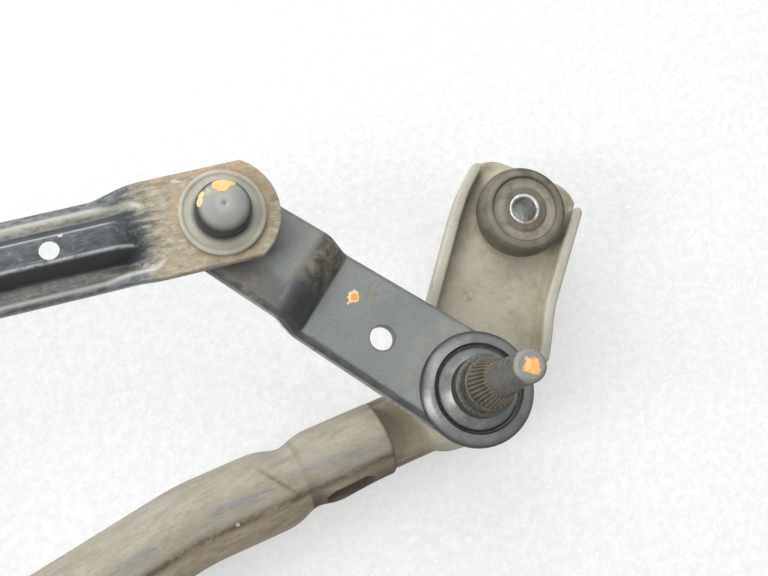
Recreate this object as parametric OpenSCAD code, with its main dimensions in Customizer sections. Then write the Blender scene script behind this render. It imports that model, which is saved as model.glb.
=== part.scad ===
// Windscreen wiper linkage: a bent tube carries two cast pivot housings. Each housing holds a spindle
// with a lever, a pressed tie link joins the levers, and a drive link runs to the motor's place.
// Millimetres. +Z is up along the spindles, X is the line of pivots, and the origin is on the right
// spindle's axis, at the foot of its housing.

/* [Layout] */
// Distance between the two spindle axes
pivot_span = 480; // [430:5:560]
// Spindle axis to tie ball, along a lever
lever_len = 77; // [70:0.5:88]
// Angle of the levers at rest, from the line of pivots
lever_angle = 133.4; // [125:0.1:138]
// Spindle axis to drive ball, on the left lever's short arm
drive_arm_len = 45; // [40:0.5:52]
// Crank radius of the motor that the drive link takes
motor_crank_r = 31; // [26:0.5:36]
// Motor axis, along the line of pivots from its middle
motor_dx = 5; // [-15:1:15]
// Motor axis, across the line of pivots
motor_dy = -8; // [-12:1:0]

/* [Pivot housings] */
// Height of the bearing boss
boss_h = 34; // [30:0.5:42]
// Radius of the bearing boss
boss_r = 13; // [12:0.5:14.5]
// Direction of the bracket arm, from the line of pivots
arm_angle = 56; // [45:1:65]
// Spindle axis to the rubber mount's axis
arm_len = 53; // [48:0.5:60]
// Width of the bracket arm over its ribs
arm_w = 34.4; // [30:0.2:38]
// Thickness of the bracket plate
arm_t = 5; // [4:0.5:7]
// End of the arm beyond the mount's axis
arm_tip = 14; // [13:0.5:17]
// Radius of the two corners at the arm's end
arm_corner_r = 8.5; // [5:0.5:12]
// Top of the bracket plate above the foot
arm_top = 23; // [21:0.5:26]
// Thickness of the arm's two side ribs
rib_t = 3; // [2.5:0.25:4]
// Height of the side ribs above the plate
rib_h = 5.5; // [3:0.5:7]
// Flare of the inner side rib toward the boss
rib_flare = 2.5; // [0:0.5:4]
// Half width of the stem between boss and tube, at its top
stem_w = 8.7; // [8:0.1:9.5]
// Top of the stem above the foot
stem_top = 25; // [23:0.5:27]
// Radius of the hole for the rubber mount
mount_hole_r = 8.5; // [8:0.1:9]

/* [Frame tube] */
// Outer radius of the tube
tube_r = 11; // [9.5:0.25:12]
// Wall of the tube
tube_wall = 1.6; // [1.2:0.1:2]
// Height of the tube's axis
tube_z = 20; // [18:0.5:22]
// Slope of the tube's end run, from the line of pivots
spigot_angle = 8; // [4:0.5:12]
// Sideways offset of the tube's end axis at the spindle
spigot_offset = 2.4; // [1.4:0.2:5]
// Slope of the tube's long run
run_angle = 16.5; // [14:0.5:19]
// Depth of the tube's middle run below the line of pivots
bow_depth = 45.5; // [44:0.5:52]
// Bend radius of the tube's axis
bend_r = 60; // [45:5:80]
// Spindle axis to the tube's end
tube_start = 23.5; // [20:0.5:26]
// Spindle axis to the first bend's corner
first_bend_at = 77; // [72:1:84]
// Depth of the ring crimp
neck_depth = 1.4; // [0.8:0.1:1.8]
// Depth of each punched dent
dent_depth = 2.2; // [1.5:0.1:2.4]
// Length of each punched dent between its round ends
dent_len = 5; // [5:0.5:9]

/* [Levers] */
// Sheet thickness of the levers
lever_t = 3.2; // [2.8:0.1:4]
// Half width of a lever at the spindle
lever_w0 = 13.8; // [12.5:0.1:14.4]
// Half width of a lever at the tie ball
lever_w1 = 11.6; // [10.5:0.1:12.4]
// Height of the lever's joggle
jog_h = 8; // [6:0.5:10]
// Spindle axis to the start of the joggle
jog_start = 45.2; // [42:0.2:48]
// Slope of the joggle
jog_slope = 55; // [45:1:60]
// Radius of the lever's pressed upper edge
lever_edge_r = 1.8; // [0.8:0.1:2.2]
// Radius of the gauge hole in each lever
gauge_hole_r = 3.2; // [2.5:0.1:3.6]
// Spindle axis to the gauge hole
gauge_hole_at = 27.5; // [25:0.5:30]

/* [Spindles] */
// Radius of the spindle in its bushes
journal_r = 5; // [4.5:0.1:5.4]
// Radius of the serrated seat in the lever
seat_r = 5.6; // [5.5:0.1:6]
// Radius of the collar above the lever
collar_r = 7.9; // [7.4:0.1:8.4]
// Height of the collar above the lever
collar_h = 9.3; // [7:0.1:11]
// Radius of the shoulder between collar and spline
shoulder_r = 6.7; // [6.4:0.1:7.2]
// Height of the shoulder above the collar
shoulder_h = 5; // [3:0.1:6]
// Base radius of the splined cone
spline_r = 6.3; // [6:0.1:6.8]
// Top radius of the splined cone
spline_top_r = 4.9; // [4.6:0.1:5.2]
// Length of the splined cone
spline_h = 8.5; // [7:0.5:11]
// Number of spline grooves
spline_n = 32; // [24:1:40]
// Radius over the thread that takes the arm's nut
thread_r = 4; // [3:0.5:4]
// Length of the threaded end
thread_h = 21.5; // [14:0.5:24]

/* [Links] */
// Half width of the links' pressed run
link_w = 10.9; // [10:0.1:11.6]
// Half width of the links' flat eyes
eye_w = 12.1; // [11.4:0.1:12.6]
// End radius of the links' flat eyes
eye_r = 14.2; // [13:0.1:15]
// Sheet thickness of the links
link_t = 2; // [1.6:0.1:2.4]
// Height of the pressed web above the eye
web_rise = 3.3; // [2.4:0.1:3.8]
// Half width of the pressed web
web_w = 2.8; // [2.4:0.1:3.2]
// Drop of the flanges below the eye
flange_drop = 3.4; // [2.4:0.1:3.8]
// Radius of the drain hole in a link's web
drain_r = 2.4; // [1.8:0.1:2.8]
// Ball centre to the drain hole
drain_at = 41; // [36:1:60]

/* [Ball joints] */
// Radius of the balls
ball_r = 5; // [4.5:0.1:5.2]
// Ball centre above its lever
ball_up = 10; // [9.6:0.1:12]
// Ball centre above a link's eye
ball_over_eye = 2.2; // [1.6:0.1:2.6]
// Radius of the socket's flange
flange_r = 10.6; // [9.6:0.1:11]
// Radius of the socket's dome
dome_r = 7.1; // [6.9:0.1:7.4]
// Height of the dome above a link's eye
dome_h = 9.6; // [9.2:0.1:11]
// Radius of the hole in a link's eye
eye_hole_r = 7.5; // [7.3:0.1:8]

/* [Rubber mounts] */
// Radius of a rubber mount
grommet_r = 11.8; // [10:0.1:12.4]
// Height of a rubber mount above its plate
grommet_h = 7; // [4.5:0.5:8]
// Outer radius of a mounting sleeve
sleeve_r = 4.15; // [4:0.05:4.6]
// Inner radius of a mounting sleeve
sleeve_bore_r = 3.25; // [3.1:0.05:3.5]

/* [Motor bracket] */
// Sheet thickness of the motor bracket
bracket_t = 2.5; // [2:0.1:3]
// Half length of the bracket's saddle along the tube
saddle_half = 44; // [40:1:48]
// Radius of the plate around the motor axis
motor_plate_r = 42; // [40:1:46]
// Radius of the hole for the motor's boss
motor_hole_r = 16; // [13:0.5:20]
// Radius of the circle of motor bolts
motor_bolt_pcr = 33; // [30:0.5:35]
// Radius of the motor bolt holes
motor_bolt_r = 3.3; // [2.8:0.1:3.8]
// Tube axis to the third mount's axis
foot_reach = 57; // [52:1:66]
// Half width of the third mount's strap
foot_w = 15; // [13.5:0.5:17]

/* [Hidden] */
$fn = 64;

// Clearances
press_gap = 0.05;
run_gap = 0.04;
ball_gap = 0.15;
axial_gap = 0.3;
eps = 0.01;

// Heights from the foot plane up
thrust_t = 1.7;
foot_recess_h = 5;
foot_recess_r = 10;
foot_washer_t = 1.2;
clip_t = 1;
clip_gap = 0.2;
lever_z = boss_h + thrust_t + axial_gap;
lever_top = lever_z + lever_t;
tie_ball_z = lever_top + jog_h + ball_up;
drive_ball_z = lever_top + ball_up;
foot_washer_z = foot_recess_h - axial_gap - foot_washer_t;
clip_z = foot_washer_z - clip_gap - clip_t;
spindle_foot = clip_z - 1.1;
collar_top = lever_top + collar_h;
undercut_h = 0.7;
spline_z = collar_top + shoulder_h + undercut_h;
runout_h = 1.3;
thread_z = spline_z + spline_h + runout_h;
spindle_top = thread_z + thread_h;

// Width of the motor bracket's blank along the tube
blank_w = 2 * saddle_half + 2 * motor_plate_r;

// The third mount's sleeve stands on the foot plane
sleeve_stand = 0.5;
foot_z = bracket_t / 2 + grommet_h + sleeve_stand;

// Bearings
bush_wall = 2;
bush_h = 12;
bush_r = journal_r + run_gap + bush_wall;
ring_r = 1.4;
ring_clear = 0.2;
ring_pocket_r = journal_r + ring_clear + 2 * ring_r;
ring_pocket_h = 2 * ring_r + ring_clear;

// Places in plan
tie_offset = [lever_len * cos(lever_angle), lever_len * sin(lever_angle)];
left_pivot = [-pivot_span, 0];
drive_ball = left_pivot - [cos(lever_angle), sin(lever_angle)] * drive_arm_len;
motor_axis = [motor_dx - pivot_span / 2, motor_dy];
drive_heading = heading(drive_ball, motor_axis);
drive_link_len = norm(motor_axis - drive_ball) + motor_crank_r;
arm_end = polar(arm_len, arm_angle);
foot_axis = [-pivot_span / 2, -bow_depth - foot_reach];

// Tube
tube_bore = tube_r - tube_wall;
spigot_r = tube_bore - press_gap;
neck_at = tube_start + 24.7;
neck_half = 4.2;
spigot_end = neck_at + neck_half + 5;
dent_at = tube_start + 13.3;
dent_r = 5;
dent_angle = 55;
dent_axis_r = tube_r + dent_r - dent_depth;
bend_swell = 0.15;
lap = 1;
end_heading = 180 + spigot_angle;
run_heading = 180 + run_angle;
corner_1 = [0, -spigot_offset] + polar(first_bend_at, end_heading);
corner_2 = corner_1 + polar((bow_depth + corner_1[1]) / sin(run_angle), run_heading);
cut_1 = bend_r * tan((run_angle - spigot_angle) / 2);
cut_2 = bend_r * tan(run_angle / 2);

// Lever joggle
jog_bend_r = 3;
jog_run = 2 * jog_bend_r * tan(jog_slope / 2) + (jog_h - 2 * jog_bend_r * (1 - cos(jog_slope))) / tan(jog_slope)
    - 2 * jog_bend_r * (tan(jog_slope / 2) - sin(jog_slope));

// Rivets of the ball studs
rivet_r = 3.4;
rivet_head_r = 5;
rivet_head_h = 1.4;

// Links' pressing
press_run = 3.4;
press_bend_r = 4;
press_deep = 10;
eye_flat = 13;

// A point at radius r and angle a
function polar(r, a) = [r * cos(a), r * sin(a)];

// Direction from point a to point b
function heading(a, b) = atan2(b[1] - a[1], b[0] - a[0]);

// Points of an arc about c
function arc(c, r, a0, a1, n = 6) = [for (i = [0:n]) c + polar(r, a0 + (a1 - a0) * i / n)];

// Places and headings round one corner of a bent sheet
function corner(a, b, c, r, n) =
    let (h0 = heading(a, b), turn = heading(b, c) - h0, side = sign(turn))
    let (centre = b - polar(r * tan(abs(turn) / 2), h0) + polar(r, h0 + 90 * side))
    [for (i = [0:n]) let (h = h0 + turn * i / n) [centre - polar(r, h + 90 * side), h]];

// A path through points p with every inner corner bent to radius r
function bent_path(p, r, n = 5) = concat(
    [[p[0], heading(p[0], p[1])]],
    [for (i = [1:len(p) - 2]) each corner(p[i - 1], p[i], p[i + 1], r, n)],
    [[p[len(p) - 1], heading(p[len(p) - 2], p[len(p) - 1])]]
);

// Smooth step from 0 to 1
function ease(x) = let (t = min(max(x, 0), 1)) t * t * (3 - 2 * t);

// A sheet of thickness t that follows a bent path
module strip(path, t) {
    upper = [for (p = path) p[0] + polar(t / 2, p[1] + 90)];
    lower = [for (i = [len(path) - 1:-1:0]) path[i][0] - polar(t / 2, path[i][1] + 90)];
    polygon(concat(upper, lower));
}

// A solid through rings of points, all of the same count, closed at both ends
module skin(rings) {
    n = len(rings[0]);
    m = len(rings);
    sides = [for (i = [0:m - 2], j = [0:n - 1])
        let (a = i * n + j, b = i * n + (j + 1) % n) each [[a, b, b + n], [a, b + n, a + n]]];
    first = [for (j = [n - 1:-1:0]) j];
    last = [for (j = [0:n - 1]) (m - 1) * n + j];
    polyhedron(points = [for (r = rings) each r], faces = concat(sides, [first, last]), convexity = 10);
}

// A hollow round post
module ring(h, r_out, r_in) {
    difference() {
        cylinder(h = h, r = r_out);
        translate([0, 0, -1]) cylinder(h = h + 2, r = r_in);
    }
}

// A round-ended bar along X
module capsule(length, r) {
    tip = arc([0, length / 2], r, 0, 90);
    tail = arc([0, -length / 2], r, -90, 0);
    rotate([0, 90, 0]) rotate_extrude() polygon(concat(tail, tip));
}

module at_left() {
    translate([left_pivot[0], left_pivot[1], 0]) children();
}

// The left casting and its tube end are the mirror image of the right
module mirrored() {
    translate([-pivot_span, 0, 0]) mirror([1, 0, 0]) children();
}

// Frame of a tube end: X runs along the tube, away from the spindle
module at_tube_end() {
    translate([0, -spigot_offset, tube_z]) rotate([0, 0, 180 + spigot_angle]) children();
}

// Places of the two punched dents of a tube end
module at_dents() {
    for (side = [0, 180]) rotate([side - dent_angle, 0, 0]) translate([dent_at, 0, dent_axis_r]) children();
}

// Outer radius of the tube's end run at distance s from the spindle
function neck_r(s) = tube_r - (abs(s - neck_at) > neck_half ? 0
    : neck_depth * (1 + cos(180 * (s - neck_at) / neck_half)) / 2);

// Solid of revolution of the tube's end run, with its surface taken in by inset
module end_run(inset, length) {
    mouth = inset > 0 ? tube_start - 1 : tube_start;
    steps = [for (i = [-6:6]) neck_at + neck_half * i / 6];
    outline = concat([[0, mouth]], [[tube_r - inset, mouth]],
        [for (s = steps) [neck_r(s) - inset, s]], [[tube_r - inset, length]], [[0, length]]);
    rotate([0, 90, 0]) rotate_extrude() polygon(outline);
}

// One bend of the tube, from a start point and heading
module tube_bend(start, h0, turn, r) {
    side = sign(turn);
    centre = start + polar(bend_r, h0 + 90 * side);
    first = side > 0 ? h0 - 90 : h0 + 90 + turn;
    translate([centre[0], centre[1], tube_z]) rotate([0, 0, first])
        rotate_extrude(angle = abs(turn)) translate([bend_r, 0]) circle(r + bend_swell);
}

// One straight of the tube between two points in plan, run a little way into the bends
module tube_straight(a, b, r) {
    translate([a[0], a[1], tube_z]) rotate([0, 0, heading(a, b)]) translate([-lap, 0, 0]) rotate([0, 90, 0])
        cylinder(h = norm(b - a) + 2 * lap, r = r);
}

// The right-hand long run and second bend of the tube as a solid bar, with its surface taken in by inset
module long_run(inset) {
    r = tube_r - inset;
    tube_straight(corner_1 + polar(cut_1, run_heading), corner_2 - polar(cut_2, run_heading), r);
    tube_bend(corner_2 - polar(cut_2, run_heading), run_heading, -run_angle, r);
}

// The tube between its first bends as a solid bar, with its surface taken in by inset
module tube_middle(inset) {
    long_run(inset);
    mirrored() long_run(inset);
    tube_straight([-pivot_span - corner_2[0] + cut_2, -bow_depth], [corner_2[0] - cut_2, -bow_depth],
        tube_r - inset);
}

// The right-hand end run and first bend of the tube as a solid bar, with its surface taken in by inset
module tube_tip(inset) {
    at_tube_end() end_run(inset, first_bend_at - cut_1 + lap);
    tube_bend(corner_1 - polar(cut_1, end_heading), end_heading, run_angle - spigot_angle, tube_r - inset);
}

// The whole tube as a solid bar, with its surface taken in by inset
module tube_bar(inset) {
    tube_tip(inset);
    mirrored() tube_tip(inset);
    tube_middle(inset);
}

module tube_end_dents(r) {
    at_tube_end() at_dents() capsule(dent_len, r);
}

// Wall pushed in behind the dents of one tube end
module dent_walls() {
    at_tube_end() intersection() {
        at_dents() capsule(dent_len, dent_r + tube_wall);
        translate([tube_start, 0, 0]) rotate([0, 90, 0])
            cylinder(h = spigot_end - tube_start, r = tube_r - tube_wall / 2);
    }
}

module frame_tube() {
    color([0.62, 0.6, 0.55]) difference() {
        union() {
            difference() {
                tube_bar(0);
                tube_bar(tube_wall);
            }
            dent_walls();
            mirrored() dent_walls();
        }
        tube_end_dents(dent_r);
        mirrored() tube_end_dents(dent_r);
    }
}

// Middle lines of the side ribs, with X along the arm: the inner one flares out toward the boss
rib_mid = (arm_w - rib_t) / 2;
rib_from = boss_r + 3;
rib_to = arm_len + 7;
rib_waist = boss_r + 17;
outer_rib = bent_path([[rib_from, rib_mid - 0.1], [arm_len - 9, rib_mid + 1.2], [rib_to, rib_mid + 0.2]], 20);
inner_rib = bent_path([[rib_from, -rib_mid - rib_flare], [rib_waist, 0.4 - rib_mid],
    [arm_len - 7, 0.3 - rib_mid], [rib_to, 0.5 - rib_mid]], 20);

// Plan of the bracket arm, with X along the arm
module arm_plan() {
    end = arm_len + arm_tip;
    side = arm_w / 2 - arm_corner_r;
    translate([0, -arm_w / 2]) square([end - arm_corner_r, arm_w]);
    translate([0, -side]) square([end, 2 * side]);
    for (y = [-side, side]) translate([end - arm_corner_r, y]) circle(arm_corner_r);
    polygon([[boss_r - 3, 1 - rib_mid], [rib_from, -rib_mid - rib_flare], [rib_waist, 0.4 - rib_mid]]);
}

// Side ribs of the bracket arm, with X along the arm
module arm_ribs() {
    translate([0, 0, arm_top - arm_t]) for (line = [outer_rib, inner_rib]) {
        linear_extrude(arm_t + rib_h) strip(line, rib_t);
        for (end = [line[0][0], line[len(line) - 1][0]]) translate([end[0], end[1], 0])
            cylinder(h = arm_t + rib_h, r = rib_t / 2);
    }
}

// The stem between boss and tube: a drafted block on a wider flange, with X along the tube
module stem() {
    length = tube_start - 0.5;
    draft = 1;
    foot = -7.5;
    flange_t = 3;
    flange_top = -2;
    top = stem_top - tube_z;
    rotate([90, 0, 90]) linear_extrude(length) polygon([[-stem_w - draft, foot], [stem_w + draft, foot],
        [stem_w, top], [-stem_w, top]]);
    translate([0, 2 - boss_r, flange_top - flange_t]) cube([length, 2 * boss_r - 4, flange_t]);
}

// The spigot that the tube is crimped on, with its crimp seats
module spigot() {
    seat = spigot_r - neck_depth - 0.2;
    difference() {
        translate([tube_start - 2, 0, 0]) rotate([0, 90, 0])
            cylinder(h = spigot_end - tube_start + 2, r = spigot_r);
        translate([neck_at - neck_half, 0, 0]) rotate([0, 90, 0]) ring(2 * neck_half, tube_r, seat);
        at_dents() capsule(dent_len, dent_r + tube_wall + press_gap);
    }
}

// One cast pivot housing: boss, ribbed bracket arm and tube spigot
module pivot_housing() {
    seat_ring_r = mount_hole_r + 4.6;
    difference() {
        union() {
            cylinder(h = boss_h, r = boss_r);
            rotate([0, 0, arm_angle]) {
                translate([0, 0, arm_top - arm_t]) linear_extrude(arm_t) arm_plan();
                arm_ribs();
                translate([arm_len, 0, arm_top - arm_t]) cylinder(h = arm_t + 0.8, r = seat_ring_r);
            }
            at_tube_end() spigot();
            at_tube_end() stem();
        }
        translate([0, 0, -1]) cylinder(h = boss_h + 2, r = bush_r);
        translate([0, 0, -1]) cylinder(h = foot_recess_h + 1, r = foot_recess_r);
        translate([0, 0, boss_h - ring_pocket_h]) cylinder(h = ring_pocket_h + 1, r = ring_pocket_r);
        translate([arm_end[0], arm_end[1], 0]) cylinder(h = boss_h, r = mount_hole_r);
        translate([arm_end[0], arm_end[1], arm_top]) cylinder(h = boss_h, r = grommet_r + 0.2);
    }
}

module right_pivot_housing() {
    color([0.66, 0.63, 0.56]) pivot_housing();
}

module left_pivot_housing() {
    color([0.66, 0.63, 0.56]) mirrored() pivot_housing();
}

// Sintered bushes, seal ring and thrust washer of one pivot
module upper_bush() {
    color([0.62, 0.47, 0.28]) translate([0, 0, boss_h - ring_pocket_h - bush_h])
        ring(bush_h, bush_r, journal_r + run_gap);
}

module lower_bush() {
    color([0.62, 0.47, 0.28]) translate([0, 0, foot_recess_h]) ring(bush_h, bush_r, journal_r + run_gap);
}

module seal_ring() {
    color([0.08, 0.08, 0.08]) translate([0, 0, boss_h - ring_pocket_h + ring_r])
        rotate_extrude() translate([journal_r + ring_clear + ring_r, 0]) circle(ring_r, $fn = 32);
}

module thrust_washer() {
    color([0.85, 0.83, 0.76]) translate([0, 0, boss_h]) ring(thrust_t, boss_r - 2, journal_r + axial_gap);
}

// Rubber mount about the middle of a plate of thickness t, with its lip upwards
module grommet(t) {
    lip_r = 1.5;
    lip = grommet_h - lip_r;
    well = t / 2 + grommet_h - 1.6;
    hub = sleeve_r + 1.7;
    upper = concat(
        [[mount_hole_r, t / 2]], [[grommet_r - 0.6, t / 2]],
        arc([grommet_r - lip_r, t / 2 + lip], lip_r, 0, 180, 10),
        [[grommet_r - 2 * lip_r - 0.3, well], [hub + 0.4, well], [hub, well + 1.1], [sleeve_r, well + 1.1]]
    );
    lower = [for (i = [len(upper) - 1:-1:0]) [upper[i][0], -upper[i][1]]];
    rotate_extrude() polygon(concat(upper, lower));
}

// Steel sleeve through a rubber mount
module sleeve(t) {
    reach = t / 2 + grommet_h + sleeve_stand;
    translate([0, 0, -reach]) ring(2 * reach, sleeve_r, sleeve_bore_r);
}

module at_right_mount() {
    translate([arm_end[0], arm_end[1], arm_top - arm_t / 2]) children();
}

module at_centre_mount() {
    translate([foot_axis[0], foot_axis[1], foot_z]) children();
}

// Saddle, motor plate and third mounting strap, pressed from one sheet
module motor_bracket() {
    over = tube_r + press_gap + bracket_t;
    skirt = 8;
    plate_end = motor_axis[1] + motor_plate_r + bow_depth;
    drop_at = over + 6;
    strap = bent_path([[-foot_reach - foot_w, foot_z - tube_z], [-drop_at - 8, foot_z - tube_z],
        [-drop_at, bracket_t / 2], [-over + 1, bracket_t / 2]], 3);
    color([0.1, 0.1, 0.11]) difference() {
        translate([foot_axis[0], -bow_depth, tube_z]) difference() {
            union() {
                difference() {
                    rotate([90, 0, 90]) linear_extrude(blank_w, center = true) {
                        circle(over);
                        square([plate_end, bracket_t]);
                        translate([-over - skirt, 0]) square([over + skirt, bracket_t]);
                    }
                    motor_plate_trim(over + skirt);
                }
                intersection() {
                    rotate([90, 0, 90]) linear_extrude(2 * foot_w, center = true) strip(strap, bracket_t);
                    strap_plan(over);
                }
            }
            translate([-blank_w, -over, -2 * over]) cube([2 * blank_w, 2 * over, 2 * over - eps]);
            motor_holes();
            translate([0, -foot_reach, -tube_z]) cylinder(h = 2 * tube_z, r = mount_hole_r);
        }
        tube_middle(-press_gap);
    }
}

// Everything outside the plan of the saddle and motor plate
module motor_plate_trim(skirt) {
    shift = motor_axis[0] - foot_axis[0];
    linear_extrude(6 * tube_z, center = true) difference() {
        square(2 * blank_w, center = true);
        translate([-saddle_half, -skirt]) square([2 * saddle_half, skirt + bow_depth / 2]);
        translate([shift, motor_axis[1] + bow_depth]) circle(motor_plate_r);
    }
}

// Plan of the third mount's strap
module strap_plan(over) {
    linear_extrude(6 * tube_z, center = true) {
        translate([-foot_w, -foot_reach]) square([2 * foot_w, foot_reach - over]);
        translate([0, -foot_reach]) circle(foot_w);
    }
}

// Motor boss hole and three bolt holes
module motor_holes() {
    translate([motor_axis[0] - foot_axis[0], motor_axis[1] + bow_depth, -1]) {
        cylinder(h = bracket_t + 2, r = motor_hole_r);
        for (a = [90, 210, 330]) rotate([0, 0, a]) translate([motor_bolt_pcr, 0, 0])
            cylinder(h = bracket_t + 2, r = motor_bolt_r);
    }
}

// One ring of points across a lever: place and heading along it, and its half width
function lever_ring(place, half) =
    let (r = min(lever_edge_r, half * 0.9), v = lever_t / 2, p = place[0], h = place[1])
    let (section = concat([[-half, -v], [half, -v]], arc([half - r, v - r], r, 0, 90, 4),
        arc([r - half, v - r], r, 90, 180, 4)))
    [for (q = section) [p[0] - q[1] * sin(h), q[0], p[1] + q[1] * cos(h)]];

// Half width of the left lever's short arm follows the long arm's taper
function lever_half(s) = lever_w0 + (lever_w1 - lever_w0) * abs(s) / lever_len;

// The pressed strap of a lever from x = -back to the tie ball, with round ends, at lever height
module lever_strap(back) {
    mid = lever_z + lever_t / 2;
    tail = lever_half(back);
    nose = lever_half(lever_len);
    fan = [for (a = [12:13:77]) a];
    bends = bent_path([[-back, mid], [jog_start + jog_bend_r * tan(jog_slope / 2), mid],
        [jog_start + jog_run - jog_bend_r * tan(jog_slope / 2), mid + jog_h], [lever_len, mid + jog_h]], jog_bend_r);
    skin(concat(
        [for (a = fan) lever_ring([[-back - tail * cos(a), mid], 0], tail * sin(a))],
        [for (p = bends) lever_ring(p, lever_half(p[0][0]))],
        [for (i = [len(fan) - 1:-1:0])
            lever_ring([[lever_len + nose * cos(fan[i]), mid + jog_h], 0], nose * sin(fan[i]))]
    ));
}

// A lever with its spindle seat, gauge hole and rivet holes
module lever(back) {
    difference() {
        lever_strap(back);
        translate([0, 0, lever_z - 1]) cylinder(h = lever_t + 2, r = seat_r);
        translate([gauge_hole_at, 0, lever_z - 1]) cylinder(h = lever_t + 2, r = gauge_hole_r);
        translate([lever_len, 0, lever_z - 1]) cylinder(h = lever_t + jog_h + 2, r = rivet_r);
        if (back > 0) translate([-back, 0, lever_z - 1]) cylinder(h = lever_t + 2, r = rivet_r);
    }
}

// Ball stud about its ball's centre, riveted in a lever below
module ball_stud() {
    neck = 3;
    seat_flange_r = 5.4;
    shoulder = -ball_up + 1.6;
    shank = -ball_up - lever_t;
    sphere(ball_r);
    rotate_extrude() polygon([
        [0, shank - rivet_head_h], [rivet_head_r - 1.2, shank - rivet_head_h], [rivet_head_r, shank - 0.5],
        [rivet_head_r, shank], [rivet_r, shank], [rivet_r, -ball_up], [seat_flange_r, -ball_up],
        [seat_flange_r, shoulder - 0.3], [seat_flange_r - 0.4, shoulder], [neck + 0.6, shoulder + 0.4],
        [neck, shoulder + 1.2], [neck, 0], [0, 0]
    ]);
}

// Dust cap pressed on a lever round the spindle's collar
module seal_cap() {
    inner = collar_r + press_gap;
    outer = 15;
    lip = 1.1;
    color([0.06, 0.06, 0.065]) translate([0, 0, lever_top]) rotate_extrude() polygon(concat(
        [[inner, 0], [outer, 0]],
        arc([outer - lip, 1.3], lip, 0, 80, 6),
        [[12, 2.6], [11.6, 1.7], [11.2, 1.7], [10.9, 3.2]],
        arc([9.9, 3.2], 1, 0, 70, 4),
        [[inner + 0.6, 4.5], [inner, 4.5]]
    ));
}

// Spindle: clip groove, journal, serrated seat, collar, splined cone and threaded end
module spindle() {
    groove_r = journal_r - 0.9;
    neck_r0 = spline_r - 0.7;
    tilt = atan((spline_r - spline_top_r) / spline_h);
    color([0.3, 0.29, 0.28]) difference() {
        rotate_extrude() polygon([
            [0, spindle_foot], [journal_r - 0.6, spindle_foot], [journal_r, spindle_foot + 0.6],
            [journal_r, clip_z], [groove_r, clip_z], [groove_r, clip_z + clip_t], [journal_r, clip_z + clip_t],
            [journal_r, lever_z], [seat_r, lever_z], [seat_r, lever_top], [collar_r, lever_top],
            [collar_r, collar_top - 0.8], [collar_r - 0.8, collar_top], [shoulder_r, collar_top],
            [shoulder_r, spline_z - undercut_h - 0.3], [shoulder_r - 0.3, spline_z - undercut_h],
            [neck_r0, spline_z - undercut_h], [neck_r0, spline_z - undercut_h / 2],
            [spline_r, spline_z], [spline_top_r, spline_z + spline_h],
            [thread_r - 0.4, spline_z + spline_h + 0.4], [thread_r - 0.4, thread_z - 0.4], [thread_r, thread_z],
            [thread_r, spindle_top - 0.9], [thread_r - 0.9, spindle_top], [0, spindle_top]
        ]);
        for (i = [0:spline_n - 1]) rotate([0, 0, 360 * i / spline_n])
            translate([spline_r, 0, spline_z]) rotate([0, -tilt, 0]) translate([0, 0, -undercut_h / 2])
                linear_extrude(spline_h + 1) polygon([[0.6, -0.85], [-0.45, 0], [0.6, 0.85]]);
    }
}

// Washer and spring clip that hold a spindle in its housing
module foot_washer() {
    color([0.6, 0.6, 0.6]) translate([0, 0, foot_washer_z])
        ring(foot_washer_t, foot_recess_r - 1, journal_r + press_gap);
}

module clip() {
    groove_r = journal_r - 0.9 + press_gap;
    color([0.2, 0.2, 0.2]) translate([0, 0, clip_z]) difference() {
        ring(clip_t, journal_r + 2.6, groove_r);
        translate([0, -groove_r, -1]) cube([journal_r + 4, 2 * groove_r, clip_t + 2]);
        for (a = [110, 250]) rotate([0, 0, a]) translate([groove_r, 0, -1]) cylinder(h = clip_t + 2, r = 1.1);
    }
}

// Side line of a pressing that leaves the eyes' level at distance a and reaches its own at distance b
function side_line(level, a, b, length) = bent_path([[eye_flat - lap, 0], [a, 0], [b, level],
    [length - b, level], [length - a, 0], [length - eye_flat + lap, 0]], press_bend_r, 4);

// Everything below a side line that is lowered by drop
module below_line(path, drop) {
    line = [for (p = path) p[0] - polar(drop, p[1] + 90)];
    rotate([90, 0, 0]) linear_extrude(4 * eye_w, center = true)
        polygon(concat(line, [[path[len(path) - 1][0][0], -press_deep], [path[0][0][0], -press_deep]]));
}

// Everything between a link's two sloping walls, each moved in by inset
module between_walls(length, inset) {
    k = press_run / (web_rise + flange_drop);
    top = web_rise + 1;
    shift = web_w - inset * sqrt(1 + k * k);
    rotate([90, 0, 90]) linear_extrude(length) polygon([
        [-shift - (web_rise + press_deep) * k, -press_deep], [shift + (web_rise + press_deep) * k, -press_deep],
        [shift - k, top], [k - shift, top]
    ]);
}

// A link's pressing filled down to a flat floor, with its surface taken in by inset
module pressing(length, inset) {
    intersection() {
        below_line(side_line(web_rise, eye_flat + 5.5, eye_flat + 14, length), inset);
        between_walls(length, inset);
    }
    below_line(side_line(-flange_drop, eye_flat + 4, eye_flat + 18, length), inset);
}

// Plan of a link between its eyes, run a little way into them
module link_plan(length) {
    full = eye_flat + 18;
    from = eye_flat - lap;
    right = [[from, eye_w], [eye_flat, eye_w], [full, link_w],
        [length - full, link_w], [length - eye_flat, eye_w], [length - from, eye_w]];
    left = [for (i = [5:-1:0]) [right[i][0], -right[i][1]]];
    translate([0, 0, -2 * press_deep]) linear_extrude(4 * press_deep) polygon(concat(right, left));
}

// One flat eye of a link, with its ball at the origin and the link running along +X
module link_eye() {
    translate([0, 0, -link_t]) linear_extrude(link_t) difference() {
        intersection() {
            union() {
                circle(eye_r);
                translate([0, -eye_w]) square([eye_flat, 2 * eye_w]);
            }
            translate([-eye_r - 1, -eye_w]) square([eye_r + 1 + eye_flat, 2 * eye_w]);
        }
        circle(eye_hole_r);
    }
}

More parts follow.
